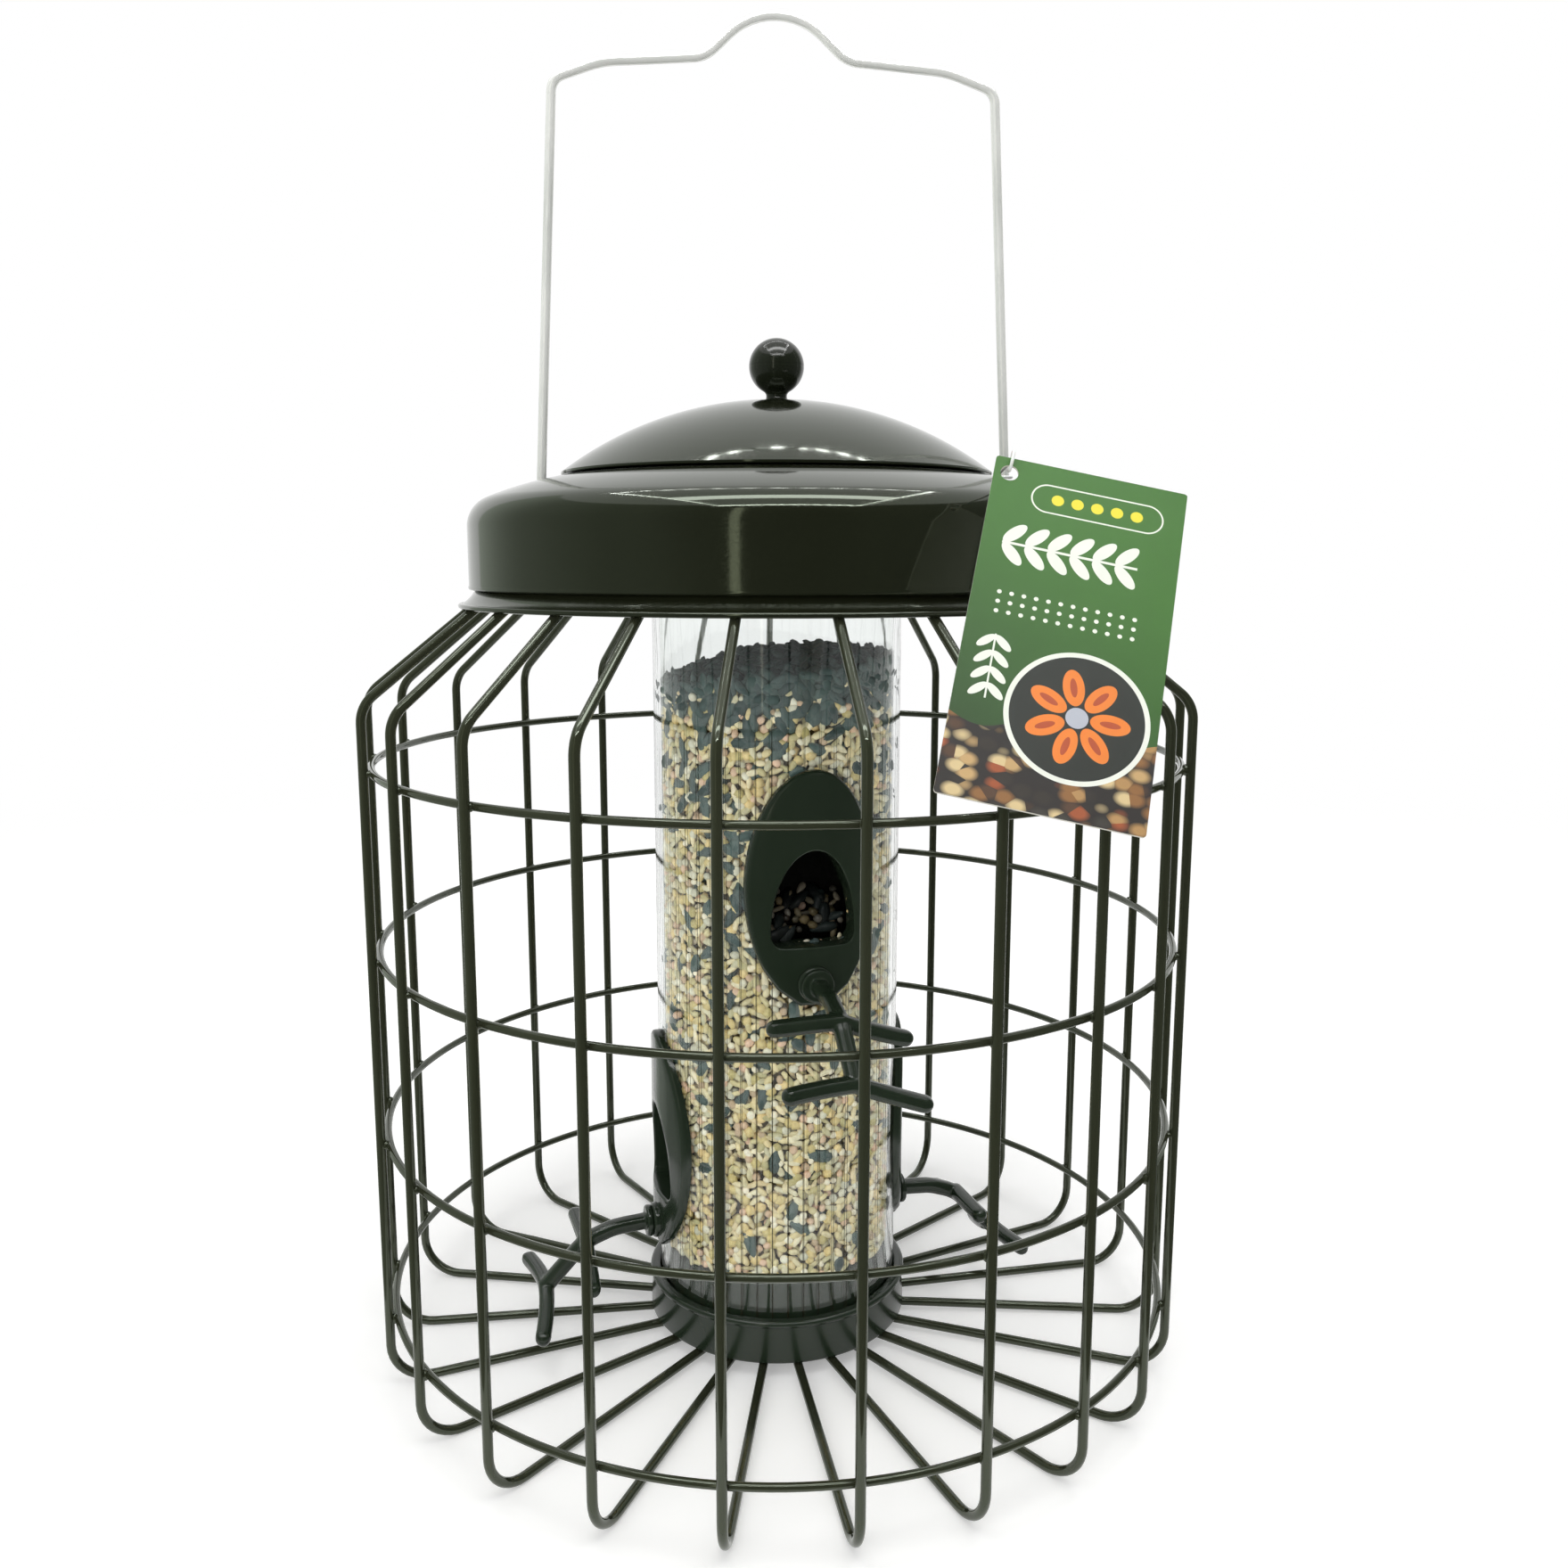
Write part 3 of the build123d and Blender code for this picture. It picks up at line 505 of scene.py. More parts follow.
cage_wires = grown(
    "cage_wires",
    line_object("wire_run", bent([(r, 0, z) for r, z in wire_run], wire_bends)),
    bent_tree,
    {
        "Wire radius": wire_radius * mm,
        "Count": wire_count,
        "First turn": math.radians(wire_first_azimuth - 90),
        "Finish": cage_enamel,
    },
)
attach(cage_wires, "cage")
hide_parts(*[f"cage_wire_{i + 1:02d}" for i in range(wire_count)])

# Rings: four hoops of 2.3 mm wire, butt welded and then spot welded to the inner side
# of every upright, in the same enamel. Each spot leaves a small nugget under the paint.
ring_count = 4
ring_heights = (21.5, 185.6)
ring_wire_radius = 1.15
ring_radius = 121.05
ring_sides = 184
nugget_size = 1.5
nugget_scales = ((0.75, 0.75, 0.7), (1.15, 1.15, 1.2))
nugget_seed = 7

ring_tree, socket = new_tree(
    "welded_rings",
    {"Ring radius": "Float", "Wire radius": "Float", "Count": "Int", "Pitch": "Float", "First": "Float"},
)
hoop = add_node(
    ring_tree,
    "GeometryNodeCurvePrimitiveCircle",
    {"Resolution": ring_sides, "Radius": socket["Ring radius"]},
)
section = add_node(
    ring_tree, "GeometryNodeCurvePrimitiveCircle", {"Resolution": 12, "Radius": socket["Wire radius"]}
)
ring = add_node(
    ring_tree, "GeometryNodeCurveToMesh", {"Curve": hoop.outputs[0], "Profile Curve": section.outputs[0]}
)
step_up = add_node(ring_tree, "ShaderNodeCombineXYZ", {"Z": socket["Pitch"]})
start_at = add_node(ring_tree, "ShaderNodeCombineXYZ", {"Z": socket["First"]})
levels = add_node(
    ring_tree,
    "GeometryNodeMeshLine",
    {"Count": socket["Count"], "Start Location": start_at.outputs[0], "Offset": step_up.outputs[0]},
)
rings = add_node(
    ring_tree, "GeometryNodeInstanceOnPoints", {"Points": levels.outputs[0], "Instance": ring.outputs[0]}
)
end_tree(ring_tree, rings.outputs[0], cage_enamel)
cage_rings = grown(
    "cage_rings",
    line_object("ring_start", [(0, 0, 0), (0, 0, 1)]),
    ring_tree,
    {
        "Ring radius": ring_radius * mm,
        "Wire radius": ring_wire_radius * mm,
        "Count": ring_count,
        "Pitch": (ring_heights[1] - ring_heights[0]) / (ring_count - 1) * mm,
        "First": ring_heights[0] * mm,
    },
)
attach(cage_rings, "cage")
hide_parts(*[f"cage_ring_{i + 1}" for i in range(ring_count)])

nugget_tree, socket = new_tree(
    "weld_nuggets",
    {"Count": "Int", "First turn": "Float", "Reach": "Float", "Levels": "Int", "Pitch": "Float",
     "First": "Float", "Size": "Float", "Seed": "Int"},
)
crossings = add_node(nugget_tree, "GeometryNodeMeshLine", {"Count": socket["Count"], "Offset": (0, 0, 0)})
index = add_node(nugget_tree, "GeometryNodeInputIndex")
share = calc(nugget_tree, "DIVIDE", index.outputs[0], socket["Count"])
turn = calc(nugget_tree, "MULTIPLY_ADD", share, math.tau, socket["First turn"])
east = calc(nugget_tree, "COSINE", turn)
north = calc(nugget_tree, "SINE", turn)
way = add_node(nugget_tree, "ShaderNodeCombineXYZ", {"X": east, "Y": north})
spot = add_node(
    nugget_tree, "ShaderNodeVectorMath", {0: way.outputs[0], "Scale": socket["Reach"]}, operation="SCALE"
)
ring_spots = add_node(
    nugget_tree, "GeometryNodeSetPosition", {"Geometry": crossings.outputs[0], "Position": spot.outputs[0]}
)
step_up = add_node(nugget_tree, "ShaderNodeCombineXYZ", {"Z": socket["Pitch"]})
start_at = add_node(nugget_tree, "ShaderNodeCombineXYZ", {"Z": socket["First"]})
levels = add_node(
    nugget_tree,
    "GeometryNodeMeshLine",
    {"Count": socket["Levels"], "Start Location": start_at.outputs[0], "Offset": step_up.outputs[0]},
)
all_spots = add_node(
    nugget_tree,
    "GeometryNodeInstanceOnPoints",
    {"Points": levels.outputs[0], "Instance": ring_spots.outputs[0]},
)
real_spots = add_node(nugget_tree, "GeometryNodeRealizeInstances", {"Geometry": all_spots.outputs[0]})
nugget = add_node(nugget_tree, "GeometryNodeMeshIcoSphere", {"Radius": socket["Size"], "Subdivisions": 2})
uneven = add_node(
    nugget_tree,
    "FunctionNodeRandomValue",
    {0: nugget_scales[0], 1: nugget_scales[1], "Seed": socket["Seed"]},
    data_type="FLOAT_VECTOR",
)
nuggets = add_node(
    nugget_tree,
    "GeometryNodeInstanceOnPoints",
    {"Points": real_spots.outputs[0], "Instance": nugget.outputs[0], "Scale": uneven.outputs[0]},
)
end_tree(nugget_tree, nuggets.outputs[0], cage_enamel)
weld_nuggets = grown(
    "weld_nuggets",
    line_object("weld_start", [(0, 0, 0), (0, 0, 1)]),
    nugget_tree,
    {
        "Count": wire_count,
        "First turn": math.radians(wire_first_azimuth - 90),
        "Reach": (ring_radius + ring_wire_radius) * mm,
        "Levels": ring_count,
        "Pitch": (ring_heights[1] - ring_heights[0]) / (ring_count - 1) * mm,
        "First": ring_heights[0] * mm,
        "Size": nugget_size * mm,
        "Seed": nugget_seed,
    },
)
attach(weld_nuggets, "cage")

# Collar: a pressed steel band that stands inside the lid's skirt and flares out to a
# rolled lip. The uprights' ends and the bail's hooks are welded to a disc inside it.
sheet = 0.8
collar_radius = 89.0
collar_top = 258.83
collar_floor_height = 240.0
flare_radius = 9.0
flare_end = 65.7
lip_bead = 0.75
lip_margin = 3
turned_steps = 192


def arc(centre, radius, start, end, steps=8):
    """Points along an arc in a section; angles in degrees, from outward and up."""
    turns = [math.radians(start + (end - start) * i / steps) for i in range(steps + 1)]
    return [(centre[0] + radius * math.cos(t), centre[1] + radius * math.sin(t)) for t in turns]


def turned_mesh(name, outline, material, steps=turned_steps):
    """Mesh of a closed section in mm, turned about the feeder's axis."""
    build = bmesh.new()
    ring = [build.verts.new((r * mm, 0, z * mm)) for r, z in outline]
    pairs = zip(ring, ring[1:] + ring[:1])
    edges = [build.edges.new(pair) for pair in pairs if max(abs(v.co.x) for v in pair) > 0]
    bmesh.ops.spin(
        build,
        geom=ring + edges,
        cent=(0, 0, 0),
        axis=(0, 0, 1),
        angle=math.tau,
        steps=steps,
        use_merge=True,
    )
    bmesh.ops.remove_doubles(build, verts=build.verts, dist=0.001 * mm)
    bmesh.ops.recalc_face_normals(build, faces=build.faces)
    mesh = bpy.data.meshes.new(name)
    build.to_mesh(mesh)
    build.free()
    mesh.materials.append(material)
    mesh.shade_smooth()
    mesh.set_sharp_from_angle(angle=math.radians(40))
    return mesh


def placed(name, mesh, body, replaced=()):
    """Puts a finished mesh in the scene, on its body, for the CAD nodes it stands for."""
    piece = bpy.data.objects.new(name, mesh)
    bpy.context.scene.collection.objects.link(piece)
    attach(piece, body)
    if replaced:
        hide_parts(*replaced)
    return piece


lid_enamel = stoved_enamel("glossy_stoving_enamel_on_sheet", "16180E", "1D2015")
flare_centre = (collar_radius + flare_radius, collar_floor_height)
lip = arc(flare_centre, flare_radius + sheet / 2, 180 + flare_end, 180 + flare_end)[0]
collar_section = (
    arc((collar_radius - sheet / 2, collar_top - sheet / 2), sheet / 2, 180, 0, 6)
    + arc(flare_centre, flare_radius, 180, 180 + flare_end - lip_margin, 14)
    + arc(lip, lip_bead, 45 + flare_end, flare_end - 225, 14)
    + arc(flare_centre, flare_radius + sheet, 180 + flare_end - lip_margin, 180, 14)
)
placed(
    "collar",
    turned_mesh("collar", collar_section, lid_enamel),
    "cage",
    ["cage_collar"],
)

# Parts of the cage that the CAD model already shows in full: the disc inside the collar
# and the disc under the foot. They are plain blanked steel, enamelled with the cage.
for name in ("collar_floor", "hub_plate"):
    frame["nodes"][name].data.materials.clear()
    frame["nodes"][name].data.materials.append(cage_enamel)

# Fasteners: the bolt and nut through the foot, and the screw, washer and sleeve inside
# the lid. All are bright zinc plated steel, with fine turning marks.
plated = "B9BCBE"
plated_dull = "A3A7A8"


def zinc_plate(name, pale_hex, dull_hex, mark, roughness):
    """Bright zinc on steel: a cool grey metal, drawn or turned to fine marks, with a
    slight cloudiness from the bath."""
    material, tree, shader, place = new_material(name)
    cloud_size = 6.0
    cloud = cloudy(tree, place, cloud_size, 5.0)
    colour = toned(tree, cloud, linear(pale_hex), linear(dull_hex))
    tree.links.new(colour, shader.inputs["Base Color"])
    marks = cloudy(tree, place, mark, 3.0)
    spread = add_node(
        tree,
        "ShaderNodeMapRange",
        {"Value": marks, "To Min": roughness * 0.7, "To Max": roughness * 1.4},
    )
    tree.links.new(spread.outputs[0], shader.inputs["Roughness"])
    textured(tree, shader, marks, 0.2, 0.02)
    shader.inputs["Metallic"].default_value = 1.0
    return material


fastener_zinc = zinc_plate("zinc_plated_fasteners", plated, plated_dull, 0.8, 0.3)
for name in ("base_bolt", "base_nut", "knob_screw", "lid_washer", "lid_spacer"):
    frame["nodes"][name].data.materials.clear()
    frame["nodes"][name].data.materials.append(fastener_zinc)

# Base cup: one moulding in dark green polypropylene, with a flared skirt, a beaded rim
# and a socket that the tube stands in. It is bolted to the disc under the cage.
cup_rim = (41.3, 4.3)
cup_lip_radius = 40.4
cup_lip_height = 18.0
cup_bead = 1.1
cup_wall = 2.2
cup_floor = (8.0, 10.0)
cup_socket = 38.2
cup_boss_radius = 10.0
cup_boss_foot = 1.6
cup_floor_corner = 1.0
cup_lip_corner = 0.6


def moulded_plastic(name, dark_hex, pale_hex, roughness):
    """Injection moulded polypropylene: satin and dark, with a fine spark-eroded grain
    and faint flow marks that run the way the plastic filled the mould."""
    material, tree, shader, place = new_material(name)
    flow_size = 15.0
    grain_size = 0.45
    stretch = add_node(tree, "ShaderNodeMapping", {"Vector": place, "Scale": (1.0, 1.0, 0.25)})
    flow = add_node(
        tree,
        "ShaderNodeTexNoise",
        {"Vector": stretch.outputs[0], "Scale": 1 / (flow_size * mm), "Detail": 5.0, "Distortion": 0.6},
    )
    colour = toned(tree, flow.outputs["Fac"], linear(dark_hex), linear(pale_hex))
    tree.links.new(colour, shader.inputs["Base Color"])
    spread = add_node(
        tree,
        "ShaderNodeMapRange",
        {"Value": flow.outputs["Fac"], "From Min": 0.3, "From Max": 0.7,
         "To Min": roughness * 0.8, "To Max": roughness * 1.25},
    )
    tree.links.new(spread.outputs[0], shader.inputs["Roughness"])
    grain = cloudy(tree, place, grain_size, 2.0)
    textured(tree, shader, grain, 0.25, 0.03)
    shader.inputs["IOR"].default_value = 1.49
    return material


port_plastic = moulded_plastic("dark_green_moulded_plastic", "1B251A", "273225", 0.17)
cup_section = (
    [(0, cup_boss_foot), (cup_boss_radius, cup_boss_foot), (cup_boss_radius, cup_floor[0])]
    + arc(
        (cup_rim[0] - cup_wall - cup_floor_corner, cup_floor[0] - cup_floor_corner),
        cup_floor_corner, 90, 0, 5,
    )
    + arc((cup_rim[0] - cup_wall / 2, cup_rim[1] + cup_wall / 2), cup_wall / 2, 180, 360, 8)
    + arc((cup_lip_radius, cup_lip_height - cup_bead), cup_bead, -70, 90, 8)
    + arc((cup_socket + cup_lip_corner, cup_lip_height - cup_lip_corner), cup_lip_corner, 90, 180, 4)
    + [(cup_socket, cup_floor[1]), (0, cup_floor[1])]
)
placed(
    "base_cup_moulding",
    turned_mesh("base_cup_moulding", cup_section, port_plastic),
    "cage",
    ["base_cup"],
)

# Seed cone: a thin dark green cone inside the tube's foot, which sheds the seed towards
# the lower ports. Its rim shows through the tube under the seed.
cone_radius = 35.6
cone_rim = 28.5
cone_tip = (3.0, 44.5)
cone_wall = 1.6
cone_rim_round = 1.5
cone_section = (
    [(cone_radius - cone_wall, cup_floor[1]), (cone_radius, cup_floor[1])]
    + arc((cone_radius - cone_rim_round, cone_rim - cone_rim_round), cone_rim_round, 0, 66, 6)
    + [cone_tip, (0, cone_tip[1])]
    + [(0, cone_tip[1] - cone_wall), (cone_tip[0], cone_tip[1] - cone_wall)]
    + [(cone_radius - cone_wall, cone_rim - cone_wall)]
)
placed(
    "seed_cone_moulding",
    turned_mesh("seed_cone_moulding", cone_section, port_plastic, 96),
    "cage",
    ["seed_cone"],
)

# Tube: extruded clear plastic, 76 mm outside with a 2 mm wall, cut to length and
# punched for the ports and their perches. It stands in the cup and in the collar.
tube_radius = 38.0
tube_wall = 2.0


def clear_tube_plastic():
    """Clear extruded plastic: a little handling haze between faint draw lines, and thin
    dark upright lines at an even pitch that fade out just below the seed's top. Shadow and stray rays pass
    straight through."""
    material, tree, shader, place = new_material("clear_extruded_plastic")
    line_size = 2.2
    stretch = add_node(tree, "ShaderNodeMapping", {"Vector": place, "Scale": (1.0, 1.0, 0.03)})
    lines = cloudy(tree, stretch.outputs[0], line_size, 3.0)
    bump = add_node(
        tree,
        "ShaderNodeBump",
        {"Height": lines, "Strength": 0.15, "Distance": 0.03 * mm},
    )
    haze = add_node(
        tree,
        "ShaderNodeMapRange",
        {"Value": lines, "From Min": 0.35, "From Max": 0.7, "To Min": 0.0, "To Max": 0.05},
    )
    tree.links.new(bump.outputs[0], shader.inputs["Normal"])
    tree.links.new(haze.outputs[0], shader.inputs["Roughness"])
    shader.inputs["Base Color"].default_value = linear("FAFCFB")
    shader.inputs["IOR"].default_value = 1.49
    shader.inputs["Transmission Weight"].default_value = 1.0
    upright_line_count = 50
    upright_line_share = 0.035
    upright_line_top = 205 * mm
    upright_line_fade = 20 * mm
    upright_line_strength = 0.55
    spot = add_node(tree, "ShaderNodeSeparateXYZ", {0: place}).outputs
    turn = calc(tree, "ARCTAN2", spot["X"], spot["Y"])
    pitch = calc(tree, "MULTIPLY", turn, upright_line_count / math.tau)
    across = calc(tree, "PINGPONG", pitch, 0.5)
    wander = add_node(
        tree,
        "ShaderNodeMapRange",
        {"Value": lines, "To Min": upright_line_share * 0.3, "To Max": upright_line_share * 1.7},
    )
    upright_line = calc(tree, "LESS_THAN", across, wander.outputs[0])
    fading = add_node(
        tree,
        "ShaderNodeMapRange",
        {
            "Value": spot["Z"],
            "From Min": upright_line_top - upright_line_fade,
            "From Max": upright_line_top,
            "To Min": upright_line_strength,
            "To Max": 0.0,
        },
    )
    # Thin dark lines: a dull dark diffuse face mixed in, fading out towards the seed's top.
    upright_line_weight = calc(tree, "MULTIPLY", upright_line, fading.outputs[0])
    dark_line_shader = add_node(tree, "ShaderNodeBsdfDiffuse", {"Color": linear("2A2416")})
    upright_lined = add_node(
        tree, "ShaderNodeMixShader", {0: upright_line_weight, 1: shader.outputs[0], 2: dark_line_shader.outputs[0]}
    )
    path = add_node(tree, "ShaderNodeLightPath")
    stray = calc(tree, "MAXIMUM", path.outputs["Is Shadow Ray"], path.outputs["Is Diffuse Ray"])
    through = add_node(tree, "ShaderNodeBsdfTransparent", {"Color": linear("F8FBF9")})
    mix = add_node(
        tree, "ShaderNodeMixShader", {0: stray, 1: upright_lined.outputs[0], 2: through.outputs[0]}
    )
    tree.links.new(mix.outputs[0], tree.nodes["Material Output"].inputs["Surface"])
    return material


clear_plastic = clear_tube_plastic()
tube = frame["nodes"]["seed_tube"]
tube.data.materials.clear()
tube.data.materials.append(clear_plastic)

# Lid shell: one steel pressing with a hemmed skirt, a rounded shoulder and a low crown,
# slotted for the bail's two legs. It is dipped in the same dark enamel as the cage.
skirt_radius = 91.6
skirt_bottom = 236.0
hem_bead = 0.6
hem_end_share = 2.3
shoulder_centre = (82.6, 254.0)
shoulder_radius = 9.0
crown_centre = (44.39, 159.43)
crown_radius = 111.0
crown_turns = (68.0, 82.96)
screw_hole = 2.2
slot_ends = (65.2, 71.84)
slot_width = 3.5
slot_cutter_height = 30.0


def cut_away(piece, cutter):
    """Cuts a piece with another mesh and leaves both clean."""
    modifier = piece.modifiers.new("cut", "BOOLEAN")
    modifier.operation = "DIFFERENCE"
    modifier.solver = "EXACT"
    modifier.object = cutter
    depsgraph = bpy.context.evaluated_depsgraph_get()
    mesh = bpy.data.meshes.new_from_object(piece.evaluated_get(depsgraph), depsgraph=depsgraph)
    piece.modifiers.remove(modifier)
    bpy.data.objects.remove(cutter)
    piece.data = mesh
    mesh.shade_smooth()
    mesh.set_sharp_from_angle(angle=math.radians(40))


def prism(name, outline, low, high):
    """Upright solid over an outline in mm, used to cut with."""
    build = bmesh.new()
    foot = [build.verts.new((x * mm, y * mm, low * mm)) for x, y in outline]
    base = build.faces.new(foot)
    raised = bmesh.ops.extrude_face_region(build, geom=[base])["geom"]
    up = Vector((0, 0, (high - low) * mm))
    bmesh.ops.translate(build, vec=up, verts=[v for v in raised if isinstance(v, bmesh.types.BMVert)])
    bmesh.ops.recalc_face_normals(build, faces=build.faces)
    mesh = bpy.data.meshes.new(name)
    build.to_mesh(mesh)
    build.free()
    solid = bpy.data.objects.new(name, mesh)
    bpy.context.scene.collection.objects.link(solid)
    return solid


hem_centre = (skirt_radius - sheet / 2, skirt_bottom + hem_bead)
hem_end = skirt_bottom + hem_bead * hem_end_share
crown_flat = crown_centre[1] + crown_radius * math.sin(math.radians(crown_turns[1]))
shell_section = (
    arc(hem_centre, hem_bead, 150, 390, 14)
    + [(skirt_radius, hem_end)]
    + arc(shoulder_centre, shoulder_radius, 0, crown_turns[0], 12)
    + arc(crown_centre, crown_radius, *crown_turns, 12)[1:]
    + [(screw_hole, crown_flat), (screw_hole, crown_flat - sheet)]
    + arc(crown_centre, crown_radius - sheet, *reversed(crown_turns), 12)
    + arc(shoulder_centre, shoulder_radius - sheet, crown_turns[0], 0, 12)[1:]
    + [(skirt_radius - sheet, hem_end)]
)
shell = placed(
    "lid_shell_pressing",
    turned_mesh("lid_shell_pressing", shell_section, lid_enamel),
    "lid",
    ["lid_shell"],
)
for side in (0, 180):
    slot_outline = arc((slot_ends[1] - slot_width / 2, 0), slot_width / 2, -90, 90, 10)
    slot_outline += arc((slot_ends[0] + slot_width / 2, 0), slot_width / 2, 90, 270, 10)
    turned = [Matrix.Rotation(math.radians(side), 2) @ Vector(point) for point in slot_outline]
    cutter_top = shoulder_centre[1] + slot_cutter_height
    cut_away(shell, prism("slot_cutter", turned, shoulder_centre[1], cutter_top))

# Dome: a shallow spun cap on top of the shell, held just clear of it by a sleeve, so
# that a thin dark gap runs round under its rolled rim. Same enamel.
dome_rim = 64.2
dome_rim_height = 269.945
dome_top = 291.445
dome_hem = 0.8
dome_rise = dome_top - dome_rim_height
dome_radius = (dome_rim**2 + dome_rise**2) / (dome_rise * 2)
dome_centre = (0, dome_top - dome_radius)
rim_turn = math.degrees(math.acos(dome_rim / dome_radius))
inner_rim_turn = math.degrees(math.acos((dome_rim - sheet) / (dome_radius - sheet)))
hole_turn = math.degrees(math.acos(screw_hole / dome_radius))
dome_section = (
    arc(dome_centre, dome_radius, hole_turn, rim_turn, 40)
    + arc((dome_rim - dome_hem / 2, dome_rim_height - dome_hem / 2), dome_hem / 2, 0, -180, 8)
    + arc(dome_centre, dome_radius - sheet, inner_rim_turn, hole_turn, 40)
)
placed("dome", turned_mesh("dome", dome_section, lid_enamel), "lid", ["lid_dome"])

# Knob: a ball moulded in near-black green plastic on a short waisted neck, screwed on
# from inside the lid. It has a high gloss and keeps a faint mark where its halves meet.
knob_ball = 8.2
knob_centre = 301.345
knob_neck = 3.1
neck_hollow = 1.6
knob_seat = 291.42
split_mark = 0.05
knob_plastic = moulded_plastic("glossy_dark_moulded_plastic", "15190F", "1C2017", 0.12)
hollow_drop = math.sqrt((knob_ball + neck_hollow) ** 2 - (knob_neck + neck_hollow) ** 2)
hollow_centre = (knob_neck + neck_hollow, knob_centre - hollow_drop)
neck_turn = math.degrees(math.atan2(-hollow_drop, knob_neck + neck_hollow))
foot_turn = 360 - math.degrees(math.acos((hollow_centre[1] - knob_seat) / neck_hollow)) - 90
knob_section = (
    arc((0, knob_centre), knob_ball, 90, 1.0, 22)
    + [(knob_ball - split_mark, knob_centre)]
    + arc((0, knob_centre), knob_ball, -1.0, neck_turn, 18)
    + arc(hollow_centre, neck_hollow, neck_turn + 180, foot_turn, 10)[1:]
    + [(0, knob_seat)]
)
placed("knob", turned_mesh("knob", knob_section, knob_plastic, 64), "lid", ["lid_knob"])

# Port covers: four oval saddles moulded in the cup's dark green plastic. Each hugs the
# tube, lines its arched mouth with a throat and carries a round boss for the perch.
port_azimuth = 11.0
ports = {
    "upper_front": (port_azimuth, 150.6),
    "upper_rear": (port_azimuth + 180, 150.6),
    "lower_left": (port_azimuth - 90, 64.0),
    "lower_right": (port_azimuth + 90, 64.0),
}
cover_half = (19.5, 35.1)
cover_back = tube_radius + 0.05
cover_face = 40.35
cover_edge = 1.2
mouth_half_width = 12.6
mouth_top = 11.6
mouth_spring = -12.4
mouth_sill = -16.6
mouth_corner = 3.4
mouth_edge = 0.8
throat_end = 31.0
throat_wall = 1.2
boss_drop = 27.6
boss_radius = 5.4
boss_face = 41.75
boss_edge = 1.0
boss_sink = 1.0
boss_sides = 40
arch_steps = 63
sill_shares = (-0.6, -0.2, 0.2, 0.6)
fan_centre = (0, -3.0)


def port_turn(azimuth):
    """Turns a piece built facing the front round to its port."""
    return Matrix.Rotation(math.radians(azimuth), 4, "Z")


def mouth_loop(margin):
    """The arched mouth widened by a margin: its arch, then its sides, corners and sill."""
    half = mouth_half_width + margin
    low = mouth_sill - margin
    corner = mouth_corner + margin
    loop = []
    rise = mouth_top + margin - mouth_spring
    for step in range(arch_steps + 1):
        turn = math.pi * step / arch_steps
        loop.append((half * math.cos(turn), mouth_spring + rise * math.sin(turn)))
    loop += arc((-half + corner, low + corner), corner, 180, 270, 8)
    loop += [(x * (half - corner), low) for x in sill_shares]
    loop += arc((half - corner, low + corner), corner, 270, 360, 8)
    return loop


def oval_loop(inset):
    """The cover's oval edge, a little inset, with a point beyond each of the mouth's."""
    wide, tall = cover_half[0] - inset, cover_half[1] - inset
    loop = []
    for x, y in mouth_loop(0):
        dx, dy = x - fan_centre[0], y - fan_centre[1]
        a = (dx / wide) ** 2 + (dy / tall) ** 2
        b = dy * fan_centre[1] / tall**2
        c = (fan_centre[1] / tall) ** 2 - 1
        reach = (-b + math.sqrt(b * b - a * c)) / a
        loop.append((fan_centre[0] + dx * reach, fan_centre[1] + dy * reach))
    return loop


def on_cylinder(loop, radius):
    """Wraps a loop onto a cylinder about the feeder's axis, facing the front."""
    return [Vector((x, -math.sqrt(radius * radius - x * x), y)) for x, y in loop]


def lofted(build, loops, closed):
    """Skins a run of loops that have the same number of points."""
    rows = [[build.verts.new(point * mm) for point in loop] for loop in loops]
    pairs = list(zip(rows, rows[1:] + rows[:1])) if closed else list(zip(rows, rows[1:]))
    for low, high in pairs:
        for i in range(len(low)):
            j = (i + 1) % len(low)
            build.faces.new((low[i], low[j], high[j], high[i]))
    if not closed:
        build.faces.new(rows[0][::-1])
        build.faces.new(rows[-1])
    return rows


def finished_mesh(build, name, material, sharp=40):
    """Closes off a mesh under work: outward faces, smooth with its sharp edges kept."""
    bmesh.ops.recalc_face_normals(build, faces=build.faces)
    mesh = bpy.data.meshes.new(name)
    build.to_mesh(mesh)
    build.free()
    mesh.materials.append(material)
    mesh.shade_smooth()
    mesh.set_sharp_from_angle(angle=math.radians(sharp))
    return mesh


cover_build = bmesh.new()
round_steps = [math.radians(90 * i / 4) for i in range(5)]
blend_shares = [i / 6 for i in range(1, 6)]
oval_in, mouth_out = oval_loop(cover_edge), mouth_loop(mouth_edge)
cover_loops = [on_cylinder(oval_loop(0), cover_back)]
cover_loops += [
    on_cylinder(oval_loop(cover_edge * (1 - math.cos(t))), cover_face - cover_edge * (1 - math.sin(t)))
    for t in round_steps
]
for share in blend_shares:
    between = [(a + (c - a) * share, b + (d - b) * share) for (a, b), (c, d) in zip(oval_in, mouth_out)]
    cover_loops.append(on_cylinder(between, cover_face))
cover_loops += [
    on_cylinder(mouth_loop(mouth_edge * (1 - math.sin(t))), cover_face - mouth_edge * (1 - math.cos(t)))
    for t in round_steps
]
cover_loops += [
    [Vector((x, -throat_end, y)) for x, y in mouth_loop(0)],
    [Vector((x, -throat_end, y)) for x, y in mouth_loop(throat_wall)],
    on_cylinder(mouth_loop(throat_wall), cover_back),
]
lofted(cover_build, cover_loops, True)
boss_rings = [(boss_radius, tube_radius + boss_sink)]
boss_rings += arc((boss_radius - boss_edge, boss_face - boss_edge), boss_edge, 0, 90, 5)


def disc_loop(radius, out, drop, sides):
    """Round loop that faces the front, at a distance out and a drop."""
    turns = [math.tau * i / sides for i in range(sides)]
    return [Vector((radius * math.cos(t), -out, radius * math.sin(t) - drop)) for t in turns]


